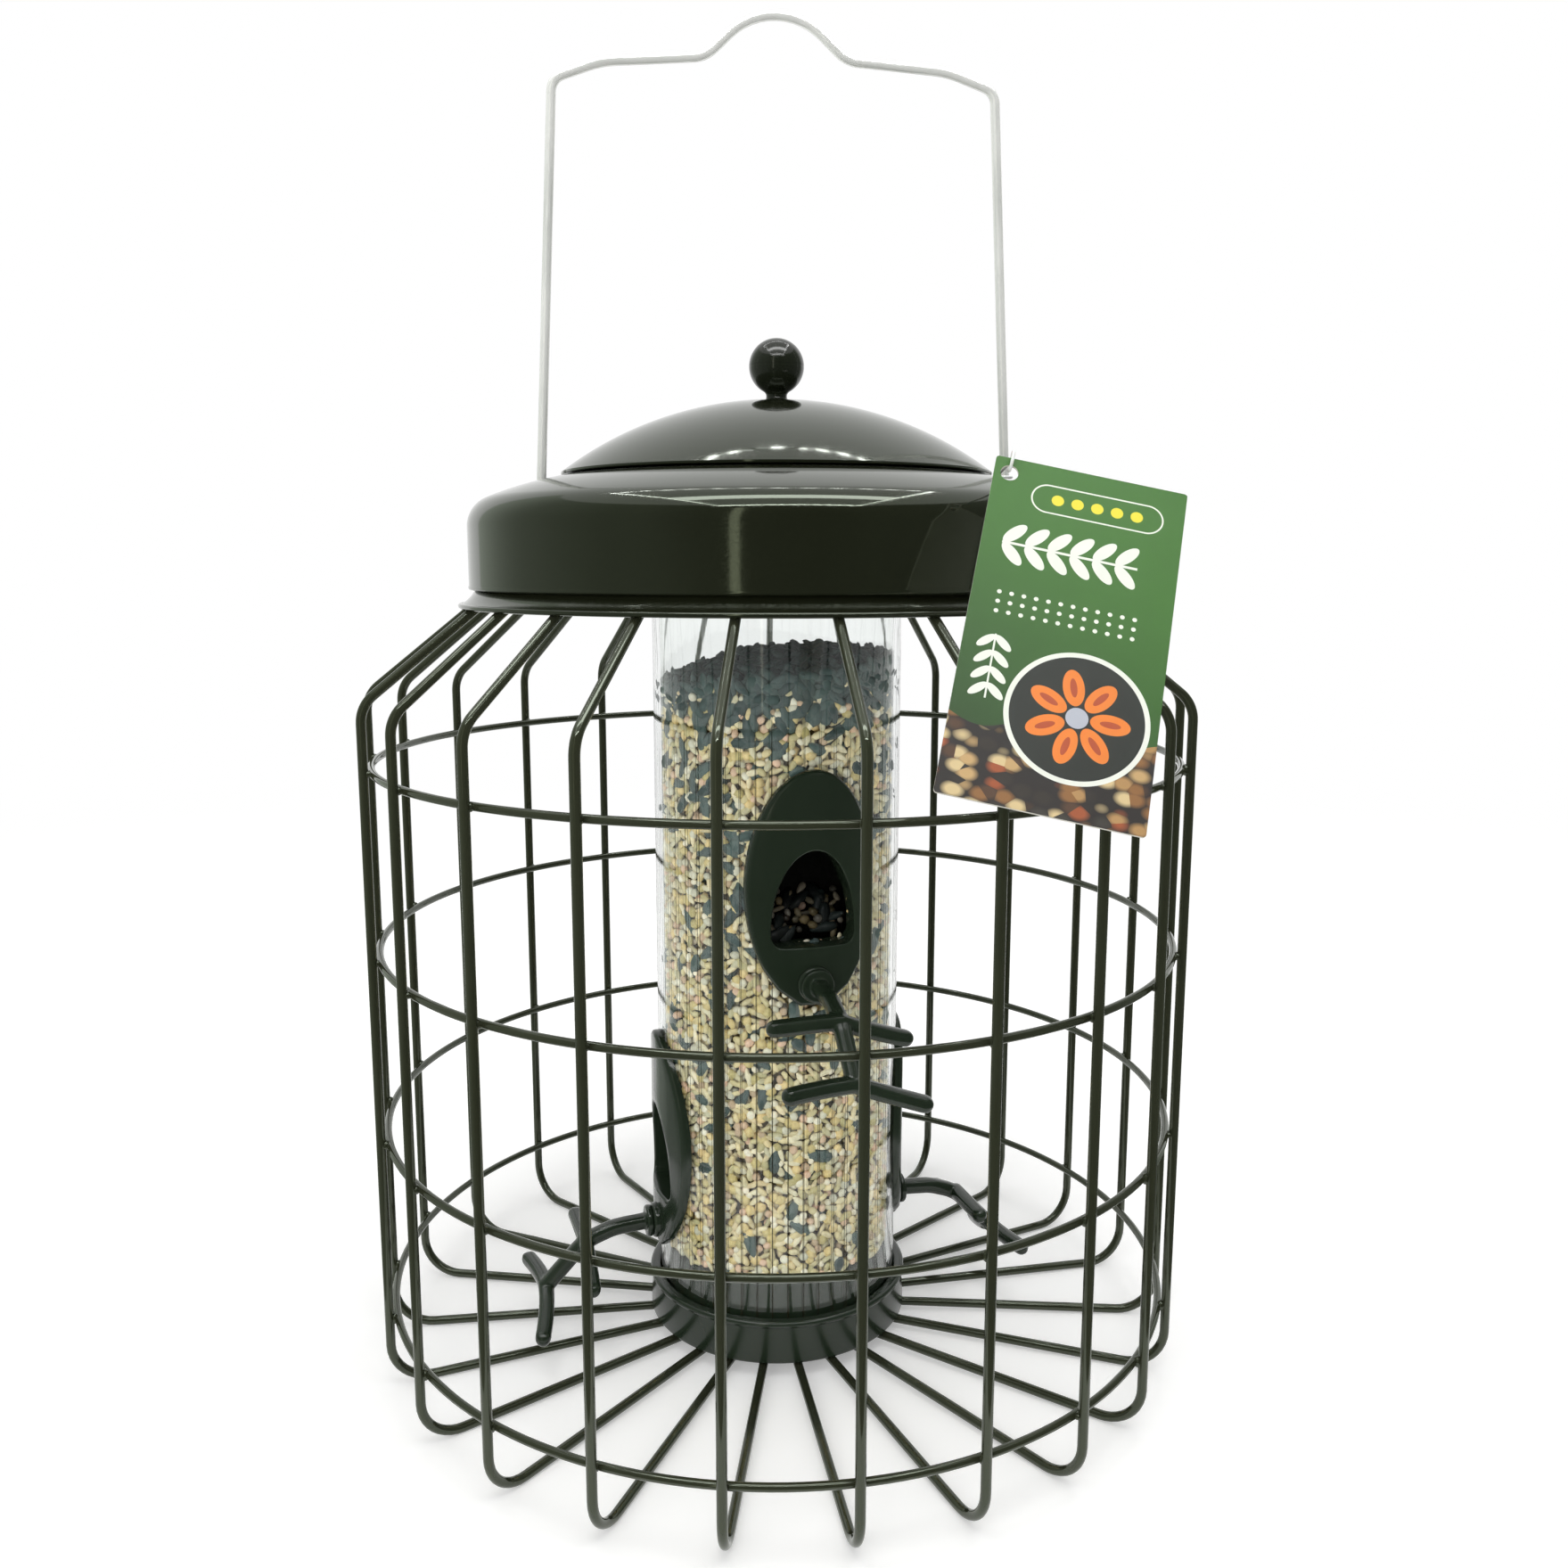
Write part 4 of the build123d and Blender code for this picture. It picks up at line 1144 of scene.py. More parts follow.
boss_loops = [disc_loop(r, out, boss_drop, boss_sides) for r, out in boss_rings]
lofted(cover_build, boss_loops, False)
cover_mesh = finished_mesh(cover_build, "port_cover", port_plastic)
for name, (azimuth, height) in ports.items():
    own = cover_mesh.copy()
    own.transform(Matrix.Translation((0, 0, height * mm)) @ port_turn(azimuth))
    own.name = f"port_cover_moulding_{name}"
    placed(own.name, own, "cage", [f"port_cover_{name}"])

# Port hoods: the half rings inside the tube that keep the seed back from each mouth.
# They are the CAD model's own shapes, in the same plastic.
for name in ports:
    hood = frame["nodes"][f"port_hood_{name}"]
    hood.data.materials.clear()
    hood.data.materials.append(port_plastic)

# Perches: four forked branches moulded in the same plastic, each a stem with two pairs
# of twigs that have soft corners and blunt ends. Places are across, up and out from the
# boss.
stem_points = [(0, 0, 1.0), (0, -0.8, 12.0), (0, -4.0, 21.3), (0, -17.4, 34.0)]
stem_bend = 18.0
twig_points = [
    [(-19.0, -4.2, 21.8), (0, -4.0, 21.3), (19.0, -10.5, 21.8)],
    [(-19.0, -17.6, 37.2), (0, -17.4, 34.0), (19.0, -23.9, 37.2)],
]
stem_half_width = 2.5
twig_half_width = 2.4
twig_steps = 14
twig_sweep_power = 1.6
twig_droop_power = 0.85
limb_foot_share = 0.62
limb_sides = 20
end_turns = (25, 45, 62, 76)
squareness = 3.2
root_radius = 5.0
root_thickness = 2.0
root_edge = 0.4
root_gap = 0.02
root_sides = 32
voxel = 0.35
smoothing_rounds = 6


def limb_ring(centre, along, half_width):
    """Points round a limb: a soft-cornered section, flat on top and narrower below."""
    side = along.cross(Vector((0, 0, 1))).normalized()
    up = side.cross(along)
    ring = []
    for step in range(limb_sides):
        x, y = math.cos(math.tau * step / limb_sides), math.sin(math.tau * step / limb_sides)
        reach = half_width * (abs(x) ** squareness + abs(y) ** squareness) ** (-1 / squareness)
        narrowing = 1 - (1 - limb_foot_share) * max(0, -y) ** 1.5
        ring.append(centre + side * (x * reach * narrowing) + up * (y * reach))
    return ring


def add_limb(build, run, half_width):
    """Skins one limb along a run of points, with domed ends."""
    loops = []
    for before, centre, after in zip(run[:1] + run, run, run[1:] + run[-1:]):
        loops.append(limb_ring(centre, (after - before).normalized(), half_width))
    for end, inner in ((run[0], run[1]), (run[-1], run[-2])):
        lead = (end - inner).normalized() * half_width
        rim = loops[0] if end is run[0] else loops[-1]
        domed = [
            [end + (p - end) * math.cos(math.radians(t)) + lead * math.sin(math.radians(t)) for p in rim]
            for t in end_turns
        ]
        loops = domed[::-1] + loops if end is run[0] else loops + domed
    lofted(build, loops, False)


perch_build = bmesh.new()
stem = bent([Vector((x, -out, z)) for x, z, out in stem_points], [stem_bend, stem_bend], 8)
add_limb(perch_build, stem, stem_half_width)
for points in twig_points:
    left, middle, right = [Vector((x, -out, z)) for x, z, out in points]
    twig = []
    for step in range(-twig_steps, twig_steps + 1):
        share = abs(step) / twig_steps
        tip = left if step < 0 else right
        across = middle.x + (tip.x - middle.x) * share
        out = middle.y + (tip.y - middle.y) * share**twig_sweep_power
        twig.append(Vector((across, out, middle.z + (tip.z - middle.z) * share**twig_droop_power)))
    add_limb(perch_build, twig, twig_half_width)
root_rings = [(root_radius, root_gap), (root_radius, root_thickness - root_edge)]
root_rings.append((root_radius - root_edge, root_thickness))
lofted(perch_build, [disc_loop(r, out, 0, root_sides) for r, out in root_rings], False)
perch_mesh = finished_mesh(perch_build, "perch", port_plastic)
perch_host = bpy.data.objects.new("perch_host", perch_mesh)
bpy.context.scene.collection.objects.link(perch_host)
fusing = perch_host.modifiers.new("fuse", "REMESH")
fusing.mode = "VOXEL"
fusing.voxel_size = voxel * mm
fusing.use_smooth_shade = True
easing = perch_host.modifiers.new("ease", "SMOOTH")
easing.factor = 0.5
easing.iterations = smoothing_rounds
depsgraph = bpy.context.evaluated_depsgraph_get()
fused = bpy.data.meshes.new_from_object(perch_host.evaluated_get(depsgraph), depsgraph=depsgraph)
bpy.data.objects.remove(perch_host)
for name, (azimuth, height) in ports.items():
    own = fused.copy()
    lift = Matrix.Translation((0, 0, (height - boss_drop) * mm))
    own.transform(lift @ port_turn(azimuth) @ Matrix.Translation((0, -boss_face * mm, 0)))
    own.name = f"perch_moulding_{name}"
    placed(own.name, own, "cage", [f"perch_{name}"])

# Seed: loose wild bird mix of pale cereal grains, chips of maize, round white and pink
# grains and dark sunflower seeds, which lie against the tube, darkest on top, where more of the dark seeds
# stand in for painted shade under the lid. A dark core behind them, painted with shade, stands in for the
# seed not seen.
seed_gap = 0.15
seed_skin = tube_radius - tube_wall - seed_gap
seed_foot = cone_rim + 0.8
seed_edge = 211.0
seed_lean = 4.0
seed_mound = 6.5
seed_zones = 4
core_inset = 3.6
core_radius = seed_skin - core_inset
core_foot_rise = 1.0
core_edge_drop = 4.0
core_top_drop = 3.0
pocket_start = 19.0
pocket_margin = 3.5
hollow_top = 16.0
hollow_foot = -16.6
heap_rise = 12.0
heap_depth = 9.0
heap_steps = 9
heap_spacing = 1.9
heap_density = 0.4
heap_tilt = 30.0
heap_dark = 0.18
heap_seed = 51
above_all = 400.0
wall_spacing = 1.72
wall_density = 0.6
wall_inset = 1.0
wall_tilt = 14.0
wall_seed = 21
# Share of dark seeds in each zone, from the foot up: the mix's own sunflower seeds, with more of them
# higher up as painted shade.
stray_dark = (0.03, 0.04, 0.07, 0.12)
inner_spacing = 2.4
inner_inset = 2.6
top_spacing = 2.4
top_density = 0.25
top_tilt = 38.0
# More dark seeds on the seed's top: painted shade under the lid.
top_dark = 0.4
top_seed = 41
painted_shade_band = 12.0
seed_hexes = ["F5E6BC", "EAD8A4", "FCF0CE", "F0D898", "F4E4B2", "FFF8E2", "FDF3DA", "EBC8AA"]
seed_hexes += ["EAD8AC", "4C5E5C"]
grain_sizes = {
    "groat": (4.3, 2.3, 1.6),
    "wheat": (4.0, 2.3, 1.8),
    "heart": (4.9, 2.9, 1.5),
    "maize_chip": (4.0, 3.5, 1.6),
    "maize_sliver": (4.4, 2.3, 1.4),
    "dari": (3.0, 2.9, 2.1),
    "white_millet": (2.3, 2.2, 1.8),
    "milo": (2.7, 2.5, 2.0),
    "split_oat": (5.0, 2.0, 1.3),
    "sunflower_seed": (8.4, 5.0, 2.7),
}


def grain_mesh(name, size, taper, ragged, order):
    """One grain: a ball drawn out to its size, tapered to a point and roughened."""
    build = bmesh.new()
    if ragged:
        bmesh.ops.create_icosphere(build, subdivisions=1, radius=0.5)
    else:
        bmesh.ops.create_uvsphere(build, u_segments=8, v_segments=5, radius=0.5)
        bmesh.ops.rotate(build, verts=build.verts, matrix=Matrix.Rotation(math.radians(90), 3, "Y"))
    uneven = random.Random(order)
    for vert in build.verts:
        x, y, z = vert.co
        narrow = 1 - taper * (x + 0.5)
        x, y, z = x + 0.04 * y, y * narrow, z * (1 - taper * 0.5 * (x + 0.5))
        wander = [1 + uneven.uniform(-ragged, ragged) for _ in range(3)]
        vert.co = [c * w * s * mm for c, w, s in zip((x, y, z), wander, size)]
    mesh = bpy.data.meshes.new(name)
    build.to_mesh(mesh)
    build.free()
    return mesh


grain_kinds = bpy.data.collections.new("grain_kinds")
bpy.context.scene.collection.children.link(grain_kinds)
for order, (name, size) in enumerate(grain_sizes.items()):
    taper = {"heart": 0.55, "sunflower_seed": 0.5, "groat": 0.2, "split_oat": 0.35}.get(name, 0.0)
    ragged = {"maize_chip": 0.28, "maize_sliver": 0.2}.get(name, 0.0)
    grain_kinds.objects.link(
        bpy.data.objects.new(f"{order}_{name}", grain_mesh(name, size, taper, ragged, order))
    )


def seed_mix_material(name, low_tone, high_tone):
    """Mixed bird seed: each grain keeps its kind's colour, a little lighter or darker
    than its neighbours, with a dusty husk that is mottled across each grain."""
    material, tree, shader, place = new_material(name)
    mottle_size = 1.3
    kind = add_node(tree, "ShaderNodeAttribute", attribute_name="kind").outputs["Fac"]
    tone = add_node(tree, "ShaderNodeAttribute", attribute_name="tone").outputs["Fac"]
    ramp_node = add_node(tree, "ShaderNodeValToRGB", {"Fac": kind})
    ramp_node.color_ramp.interpolation = "CONSTANT"
    stops = ramp_node.color_ramp.elements
    for i, code in enumerate(seed_hexes):
        stop = stops[i] if i < 2 else stops.new(i / len(seed_hexes))
        stop.position = i / len(seed_hexes)
        stop.color = linear(code)
    value = add_node(tree, "ShaderNodeMapRange", {"Value": tone, "To Min": low_tone, "To Max": high_tone})
    hue = add_node(tree, "ShaderNodeMapRange", {"Value": tone, "To Min": 0.515, "To Max": 0.49})
    varied = add_node(
        tree,
        "ShaderNodeHueSaturation",
        {"Color": ramp_node.outputs["Color"], "Value": value.outputs[0], "Hue": hue.outputs[0]},
    )
    mottle = cloudy(tree, place, mottle_size, 3.0)
    patch = add_node(
        tree,
        "ShaderNodeMapRange",
        {"Value": mottle, "From Min": 0.42, "From Max": 0.75, "To Max": 0.3},
    )
    husk = add_node(
        tree,
        "ShaderNodeMix",
        {"Factor": patch.outputs[0], 6: varied.outputs[0], 7: linear("A98B5C")},
        data_type="RGBA",
        blend_type="MULTIPLY",
    )
    tree.links.new(husk.outputs[2], shader.inputs["Base Color"])
    textured(tree, shader, mottle, 0.3, 0.1)
    shader.inputs["Roughness"].default_value = 0.5
    shader.inputs["IOR"].default_value = 1.45
    return material


seed_mix = seed_mix_material("mixed_bird_seed", 0.72, 1.25)
# The seed in the mouths is the same mix, darkened nearly to black: painted shade under the covers.
shaded_mix = seed_mix_material("bird_seed_in_the_mouths", 0.03, 0.2)
grain_tree, socket = new_tree(
    "scattered_grains",
    {
        "Kinds": "Collection",
        "Kind count": "Int",
        "Spacing": "Float",
        "Density": "Float",
        "Tilt": "Float",
        "Dark from": "Float",
        "Dark over": "Float",
        "Stray dark": "Float",
        "Seed": "Int",
        "Finish": "Material",
    },
)
scatter = add_node(
    grain_tree,
    "GeometryNodeDistributePointsOnFaces",
    {
        "Mesh": socket["Geometry"],
        "Distance Min": socket["Spacing"],
        "Density Max": socket["Density"],
        "Seed": socket["Seed"],
    },
    distribute_method="POISSON",
)
kinds = add_node(
    grain_tree,
    "GeometryNodeCollectionInfo",
    {"Collection": socket["Kinds"], "Separate Children": True, "Reset Children": True},
)
height = add_node(
    grain_tree, "ShaderNodeSeparateXYZ", {0: add_node(grain_tree, "GeometryNodeInputPosition").outputs[0]}
).outputs["Z"]
# From 'Dark from' upwards, the share of dark seeds rises until all are dark: painted shade under the lid.
dark_share = add_node(
    grain_tree,
    "ShaderNodeMapRange",
    {
        "Value": height,
        "From Min": socket["Dark from"],
        "From Max": socket["Dark over"],
        "To Min": socket["Stray dark"],
    },
)
draw = add_node(grain_tree, "FunctionNodeRandomValue", {"Seed": socket["Seed"]}, data_type="FLOAT")
is_dark = calc(grain_tree, "LESS_THAN", draw.outputs[1], dark_share.outputs[0])
second = calc(grain_tree, "ADD", socket["Seed"], 11.0)
last_pale = calc(grain_tree, "SUBTRACT", socket["Kind count"], 2.0)
last_kind = calc(grain_tree, "SUBTRACT", socket["Kind count"], 1.0)
pale = add_node(
    grain_tree,
    "FunctionNodeRandomValue",
    {4: 0, 5: last_pale, "Seed": second},
    data_type="INT",
)
chosen = add_node(
    grain_tree,
    "GeometryNodeSwitch",
    {0: is_dark, 1: pale.outputs[2], 2: last_kind},
    input_type="INT",
)
tilt_back = calc(grain_tree, "MULTIPLY", socket["Tilt"], -1.0)
low_turn = add_node(grain_tree, "ShaderNodeCombineXYZ", {"X": tilt_back, "Y": tilt_back, "Z": -math.pi})
high_turn = add_node(
    grain_tree, "ShaderNodeCombineXYZ", {"X": socket["Tilt"], "Y": socket["Tilt"], "Z": math.pi}
)
spin = add_node(
    grain_tree,
    "FunctionNodeRandomValue",
    {0: low_turn.outputs[0], 1: high_turn.outputs[0], "Seed": socket["Seed"]},
    data_type="FLOAT_VECTOR",
)
lying = add_node(
    grain_tree,
    "FunctionNodeRotateRotation",
    {0: scatter.outputs["Rotation"], 1: spin.outputs[0]},
    rotation_space="LOCAL",
)
size = add_node(
    grain_tree,
    "FunctionNodeRandomValue",
    {0: (0.8, 0.8, 0.8), 1: (1.12, 1.12, 1.1), "Seed": second},
    data_type="FLOAT_VECTOR",
)
grains = add_node(
    grain_tree,
    "GeometryNodeInstanceOnPoints",
    {"Points": scatter.outputs["Points"], "Instance": kinds.outputs[0], "Pick Instance": True,
     "Instance Index": chosen.outputs[0], "Rotation": lying.outputs[0], "Scale": size.outputs[0]},
)
kind_share = calc(grain_tree, "ADD", chosen.outputs[0], 0.5)
kind_share = calc(grain_tree, "DIVIDE", kind_share, socket["Kind count"])
tone = add_node(grain_tree, "FunctionNodeRandomValue", {"Seed": second}, data_type="FLOAT")
marked = grains
for label, value in (("kind", kind_share), ("tone", tone.outputs[1])):
    marked = add_node(
        grain_tree,
        "GeometryNodeStoreNamedAttribute",
        {"Geometry": marked.outputs[0], "Name": label, "Value": value},
        data_type="FLOAT",
        domain="INSTANCE",
    )
end_tree(grain_tree, marked.outputs[0], socket["Finish"])


def seed_top(x, y):
    """Height of the seed's surface, which is heaped and leans up to the right."""
    share = min(1.0, math.hypot(x, y) / seed_skin)
    return seed_edge + seed_lean * x / seed_skin + seed_mound * (1 - share**2)


def in_hollow(x, y, z, margin):
    """Tells whether a place lies in the hollow behind one of the mouths."""
    for azimuth, height in ports.values():
        turn = math.radians(azimuth)
        across = x * math.cos(turn) + y * math.sin(turn)
        out = x * math.sin(turn) - y * math.cos(turn)
        beside = abs(across) < mouth_half_width + margin
        level = hollow_foot - margin < z - height < hollow_top + margin
        if out > pocket_start and beside and level:
            return True
    return False


def skin_host(name, places, rows, columns, closed):
    """Plain mesh over a grid of places in mm, without what lies in a hollow."""
    build = bmesh.new()
    verts = [build.verts.new(Vector(place) * mm) for place in places]
    for row in range(rows - 1):
        for column in range(columns if closed else columns - 1):
            right = (column + 1) % columns
            picks = [row * columns + column, row * columns + right]
            picks += [(row + 1) * columns + right, (row + 1) * columns + column]
            middle = sum((Vector(places[i]) for i in picks), Vector()) / 4
            if not in_hollow(*middle, 1.0):
                build.faces.new([verts[i] for i in picks])
    loose = [v for v in build.verts if not v.link_faces]
    bmesh.ops.delete(build, geom=loose, context="VERTS")
    mesh = bpy.data.meshes.new(name)
    build.to_mesh(mesh)
    build.free()
    host = bpy.data.objects.new(name, mesh)
    bpy.context.scene.collection.objects.link(host)
    return host


def scatter_grains(name, host, spacing, density, tilt, dark_from, stray, seed, mix=seed_mix):
    """Scatters the mix over a host and puts the grains in the scene as one piece."""
    piece = grown(
        name,
        host,
        grain_tree,
        {
            "Kinds": grain_kinds,
            "Kind count": len(grain_sizes),
            "Spacing": spacing * mm,
            "Density": density / mm**2,
            "Tilt": math.radians(tilt),
            "Dark from": dark_from * mm,
            "Dark over": (dark_from + painted_shade_band) * mm,
            "Stray dark": stray,
            "Seed": seed,
            "Finish": mix,
        },
    )
    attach(piece, "cage")


columns, zone_rows = 120, 15
zone_height = (seed_edge - seed_foot) / seed_zones
for zone in range(seed_zones):
    for layer, inset, spacing in (
        ("wall", wall_inset, wall_spacing),
        ("inner", inner_inset, inner_spacing),
    ):
        radius = seed_skin - inset
        places = []
        for row in range(zone_rows):
            for column in range(columns):
                turn = math.tau * column / columns
                x, y = radius * math.sin(turn), -radius * math.cos(turn)
                low = seed_foot + zone * zone_height
                high = low + zone_height if zone < seed_zones - 1 else seed_top(x, y)
                places.append((x, y, low + (high - low) * row / (zone_rows - 1)))
        host = skin_host("seed_wall_host", places, zone_rows, columns, True)
        scatter_grains(
            f"seed_{layer}_grains_{zone + 1}",
            host,
            spacing,
            wall_density,
            wall_tilt,
            seed_edge - painted_shade_band * 1.1,
            stray_dark[zone],
            wall_seed + zone * 2 + (layer == "inner"),
        )
cap_rows = 16
cap_places = []
for row in range(cap_rows):
    radius = 0.5 + (seed_skin - 3.0) * row / (cap_rows - 1)
    for column in range(columns):
        turn = math.tau * column / columns
        x, y = radius * math.sin(turn), -radius * math.cos(turn)
        cap_places.append((x, y, seed_top(x, y)))
cap_host = skin_host("seed_cap_host", cap_places, cap_rows, columns, True)
scatter_grains(
    "seed_top_grains",
    cap_host,
    top_spacing,
    top_density,
    top_tilt,
    seed_edge - painted_shade_band * 2,
    top_dark,
    top_seed,
)
for order, (name, (azimuth, height)) in enumerate(ports.items()):
    places = []
    for row in range(heap_steps):
        share = row / (heap_steps - 1)
        for column in range(heap_steps):
            across = (column / (heap_steps - 1) - 0.5) * 2 * (mouth_half_width - 0.5)
            out = throat_end - 0.8 - heap_depth * share
            rise = mouth_sill + 1.0 + heap_rise * share**0.8 + 1.2 * math.sin(across * 0.5)
            places.append(port_turn(azimuth) @ Vector((across, -out, rise + height)))
    build = bmesh.new()
    verts = [build.verts.new(place * mm) for place in places]
    for row in range(heap_steps - 1):
        for column in range(heap_steps - 1):
            first = row * heap_steps + column
            corners = (first, first + heap_steps, first + heap_steps + 1, first + 1)
            build.faces.new([verts[i] for i in corners])
    heap = bpy.data.meshes.new("mouth_heap")
    build.to_mesh(heap)
    build.free()
    heap_host = bpy.data.objects.new("mouth_heap", heap)
    bpy.context.scene.collection.objects.link(heap_host)
    scatter_grains(
        f"mouth_grains_{name}",
        heap_host,
        heap_spacing,
        heap_density,
        heap_tilt,
        above_all,
        heap_dark,
        heap_seed + order,
        shaded_mix,
    )
for kind in list(grain_kinds.objects):
    bpy.data.objects.remove(kind)
bpy.data.collections.remove(grain_kinds)


def seed_core_material():
    """Seed in shadow behind the front grains, all painted shade: a dull brown, broken into
    grain-sized cells that darken to their edges as painted shade, so that gaps look deep. It is nearly
    black, as painted shade, in the hollows and on its top, away from its outer wall."""
    material, tree, shader, place = new_material("shaded_seed_behind")
    cell_size = 3.2
    shade_start, shade_end = 2.0, 0.3
    cells = add_node(
        tree, "ShaderNodeTexVoronoi", {"Vector": place, "Scale": 1 / (cell_size * mm)}, feature="F1"
    )
    # Painted shade: each cell darkens to its edge, so that the gaps between grains look deep.
    colour = toned(tree, cells.outputs["Distance"], linear("8A774A"), linear("3A2F1B"))
    flat = add_node(tree, "ShaderNodeVectorMath", {0: place, 1: (1.0, 1.0, 0.0)}, operation="MULTIPLY")
    reach = add_node(tree, "ShaderNodeVectorMath", {0: flat.outputs[0]}, operation="LENGTH")
    # Painted shade: the core goes nearly black further in from its outer wall, in the hollows behind the
    # mouths and on its top.
    lit = add_node(
        tree,
        "ShaderNodeMapRange",
        {
            "Value": reach.outputs["Value"],
            "From Min": (core_radius - shade_start) * mm,
            "From Max": (core_radius - shade_end) * mm,
        },
    )
    shaded = toned(tree, lit.outputs[0], linear("0B0805"), colour)
    tree.links.new(shaded, shader.inputs["Base Color"])
    bump = add_node(
        tree,
        "ShaderNodeBump",
        {"Height": cells.outputs["Distance"], "Strength": 0.8, "Distance": 1.0 * mm},
        invert=True,
    )
    tree.links.new(bump.outputs[0], shader.inputs["Normal"])
    shader.inputs["Roughness"].default_value = 0.85
    return material


core_shade = seed_core_material()
core_section = [
    (0, cone_tip[1] + core_foot_rise),
    (cone_tip[0], cone_tip[1] + core_foot_rise),
    (core_radius, seed_foot),
    (core_radius, seed_edge - core_edge_drop),
    (0, seed_edge + seed_mound - core_top_drop),
]
core = placed(
    "seed_core",
    turned_mesh("seed_core", core_section, core_shade, 96),
    "cage",
    ["seed_lower", "seed_upper"],
)
for azimuth, height in ports.values():
    build = bmesh.new()
    loops = [
        [Vector((x, -out, z)) for x, z in mouth_loop(pocket_margin)] for out in (pocket_start, tube_radius)
    ]
    lofted(build, loops, False)
    pocket_mesh = finished_mesh(build, "pocket", core_shade)
    pocket_mesh.transform(Matrix.Translation((0, 0, height * mm)) @ port_turn(azimuth))
    pocket = bpy.data.objects.new("pocket", pocket_mesh)
    bpy.context.scene.collection.objects.link(pocket)
    cut_away(core, pocket)

# Bail: one length of 2.8 mm bright zinc plated wire, bent cold. Its feet hook in under
# the lid, on the collar's disc, and its top has a hump in the middle to hang it by.
bail_half = [
    (62.17, 236.7), (71.67, 236.7), (64.2, 379.8), (50.0, 384.8), (20.4, 386.9), (0, 405.9),
]
bail_bends = [3.0, 5.0, 30.0, 10.0]
bail_hump = 20.0


def drawn_wire():
    """Bright zinc plated wire: nearly white, with fine dull streaks drawn along it."""
    material, tree, shader, place = new_material("bright_drawn_wire")
    streak_size = 1.2
    stretch = add_node(tree, "ShaderNodeMapping", {"Vector": place, "Scale": (0.04, 1.0, 0.04)})
    streaks = cloudy(tree, stretch.outputs[0], streak_size, 3.0)
    share = add_node(
        tree, "ShaderNodeMapRange", {"Value": streaks, "From Min": 0.45, "From Max": 0.75}
    )
    colour = toned(tree, share.outputs[0], linear("F8F9F5"), linear("D2D5D0"))
    tree.links.new(colour, shader.inputs["Base Color"])
    dull = add_node(tree, "ShaderNodeMapRange", {"Value": streaks, "To Min": 0.1, "To Max": 0.26})
    tree.links.new(dull.outputs[0], shader.inputs["Roughness"])
    shader.inputs["Metallic"].default_value = 0.35
    return material


bail_wire = drawn_wire()
bail_points = [(x, 0, z) for x, z in bail_half] + [(-x, 0, z) for x, z in reversed(bail_half[:-1])]
bail = grown(
    "bail_wire",
    line_object("bail_run", bent(bail_points, bail_bends + [bail_hump] + bail_bends[::-1], 12)),
    bent_tree,
    {"Wire radius": wire_radius * mm, "Count": 1, "First turn": 0.0, "Finish": bail_wire},
)
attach(bail, "cage")
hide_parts("bail_handle")

# Card tag: a printed card that hangs from the bail by a nylon tie, close by the lid's
# shoulder and the cage. It is printed on one side and coated; its back is bare white card.
# Sizes of the print are in mm, from the card's top left corner.
tag_width = 47.0
tag_length = 91.0
tag_thickness = 0.6
tag_corner = 0.8
tag_hole = 2.2
tag_hole_side = 3.8
tag_hole_drop = 4.4
tag_hinge = Vector((49.738, -86.979, 268.37))
tag_hinge_rise = 3.9
tag_across = Vector((0.965238, -0.161771, -0.205294))
tag_normal = Vector((-0.0296, -0.8481, 0.529))
# The ground's own green, then the darker green of the painted shade over it.
green_ground_and_painted_shade = ("2C600C", "153507")
print_white = "DADDD2"
print_yellow = "D8CC14"
print_orange = "D87410"
print_shade = "141A12"
seed_print_hexes = ["221B12", "7E5526", "B3935F", "452C17", "A07B47", "8F4518", "C4AE7E", "2B2720"]
leaf_turn = 48
sprig_stem_share = 0.22
title_sprig_place = (5.0, 24.0)
title_sprig_leaves = (6, 5.4, (3.6, 1.5, 2.9))
side_sprig_place = (7.4, 49.0)
side_sprig_leaves = (4, 4.2, (2.6, 1.0, 2.0))
dots_left, dots_right = 5.0, 40.0
dots_top, dots_foot = 36.4, 44.2
dot_pitch_across, dot_pitch_down = 2.9, 2.6
dot_radius = 0.55
lozenge_centre = (26.0, 9.5)
lozenge_spine = 12.0
lozenge_line = (3.7, 4.1)
bead_pitch = 4.8
bead_radius = 1.5
paper_tone_size = 6.0
printed_seed_size = 3.4
printed_seed_squeeze = 0.72
seed_band_top = 70.5
seed_band_wave = 2.2
seed_band_ripple = 0.22
rosette_centre = (28.5, 66.0)
rosette_rim, rosette_face, rosette_eye = 16.6, 15.4, 2.6
petal_count = 7
petal_reach = 7.6
petal_half, vein_half = (4.6, 2.5), (2.4, 0.8)


def in_range(tree, value, low, high):
    """Is 1 where a value lies between two bounds."""
    above = calc(tree, "GREATER_THAN", value, low)
    return calc(tree, "MULTIPLY", above, calc(tree, "LESS_THAN", value, high))


def in_oval(tree, x, y, turn, half_length, half_width):
    """Is 1 inside an oval about the origin of x and y, turned by an angle."""
    cosine, sine = math.cos(math.radians(turn)), math.sin(math.radians(turn))
    y_along = calc(tree, "MULTIPLY", y, sine / half_length)
    x_across = calc(tree, "MULTIPLY", x, -sine / half_width)
    along = calc(tree, "MULTIPLY_ADD", x, cosine / half_length, y_along)
    across = calc(tree, "MULTIPLY_ADD", y, cosine / half_width, x_across)
    square = calc(tree, "MULTIPLY_ADD", along, along, calc(tree, "MULTIPLY", across, across))
    return calc(tree, "LESS_THAN", square, 1.0)


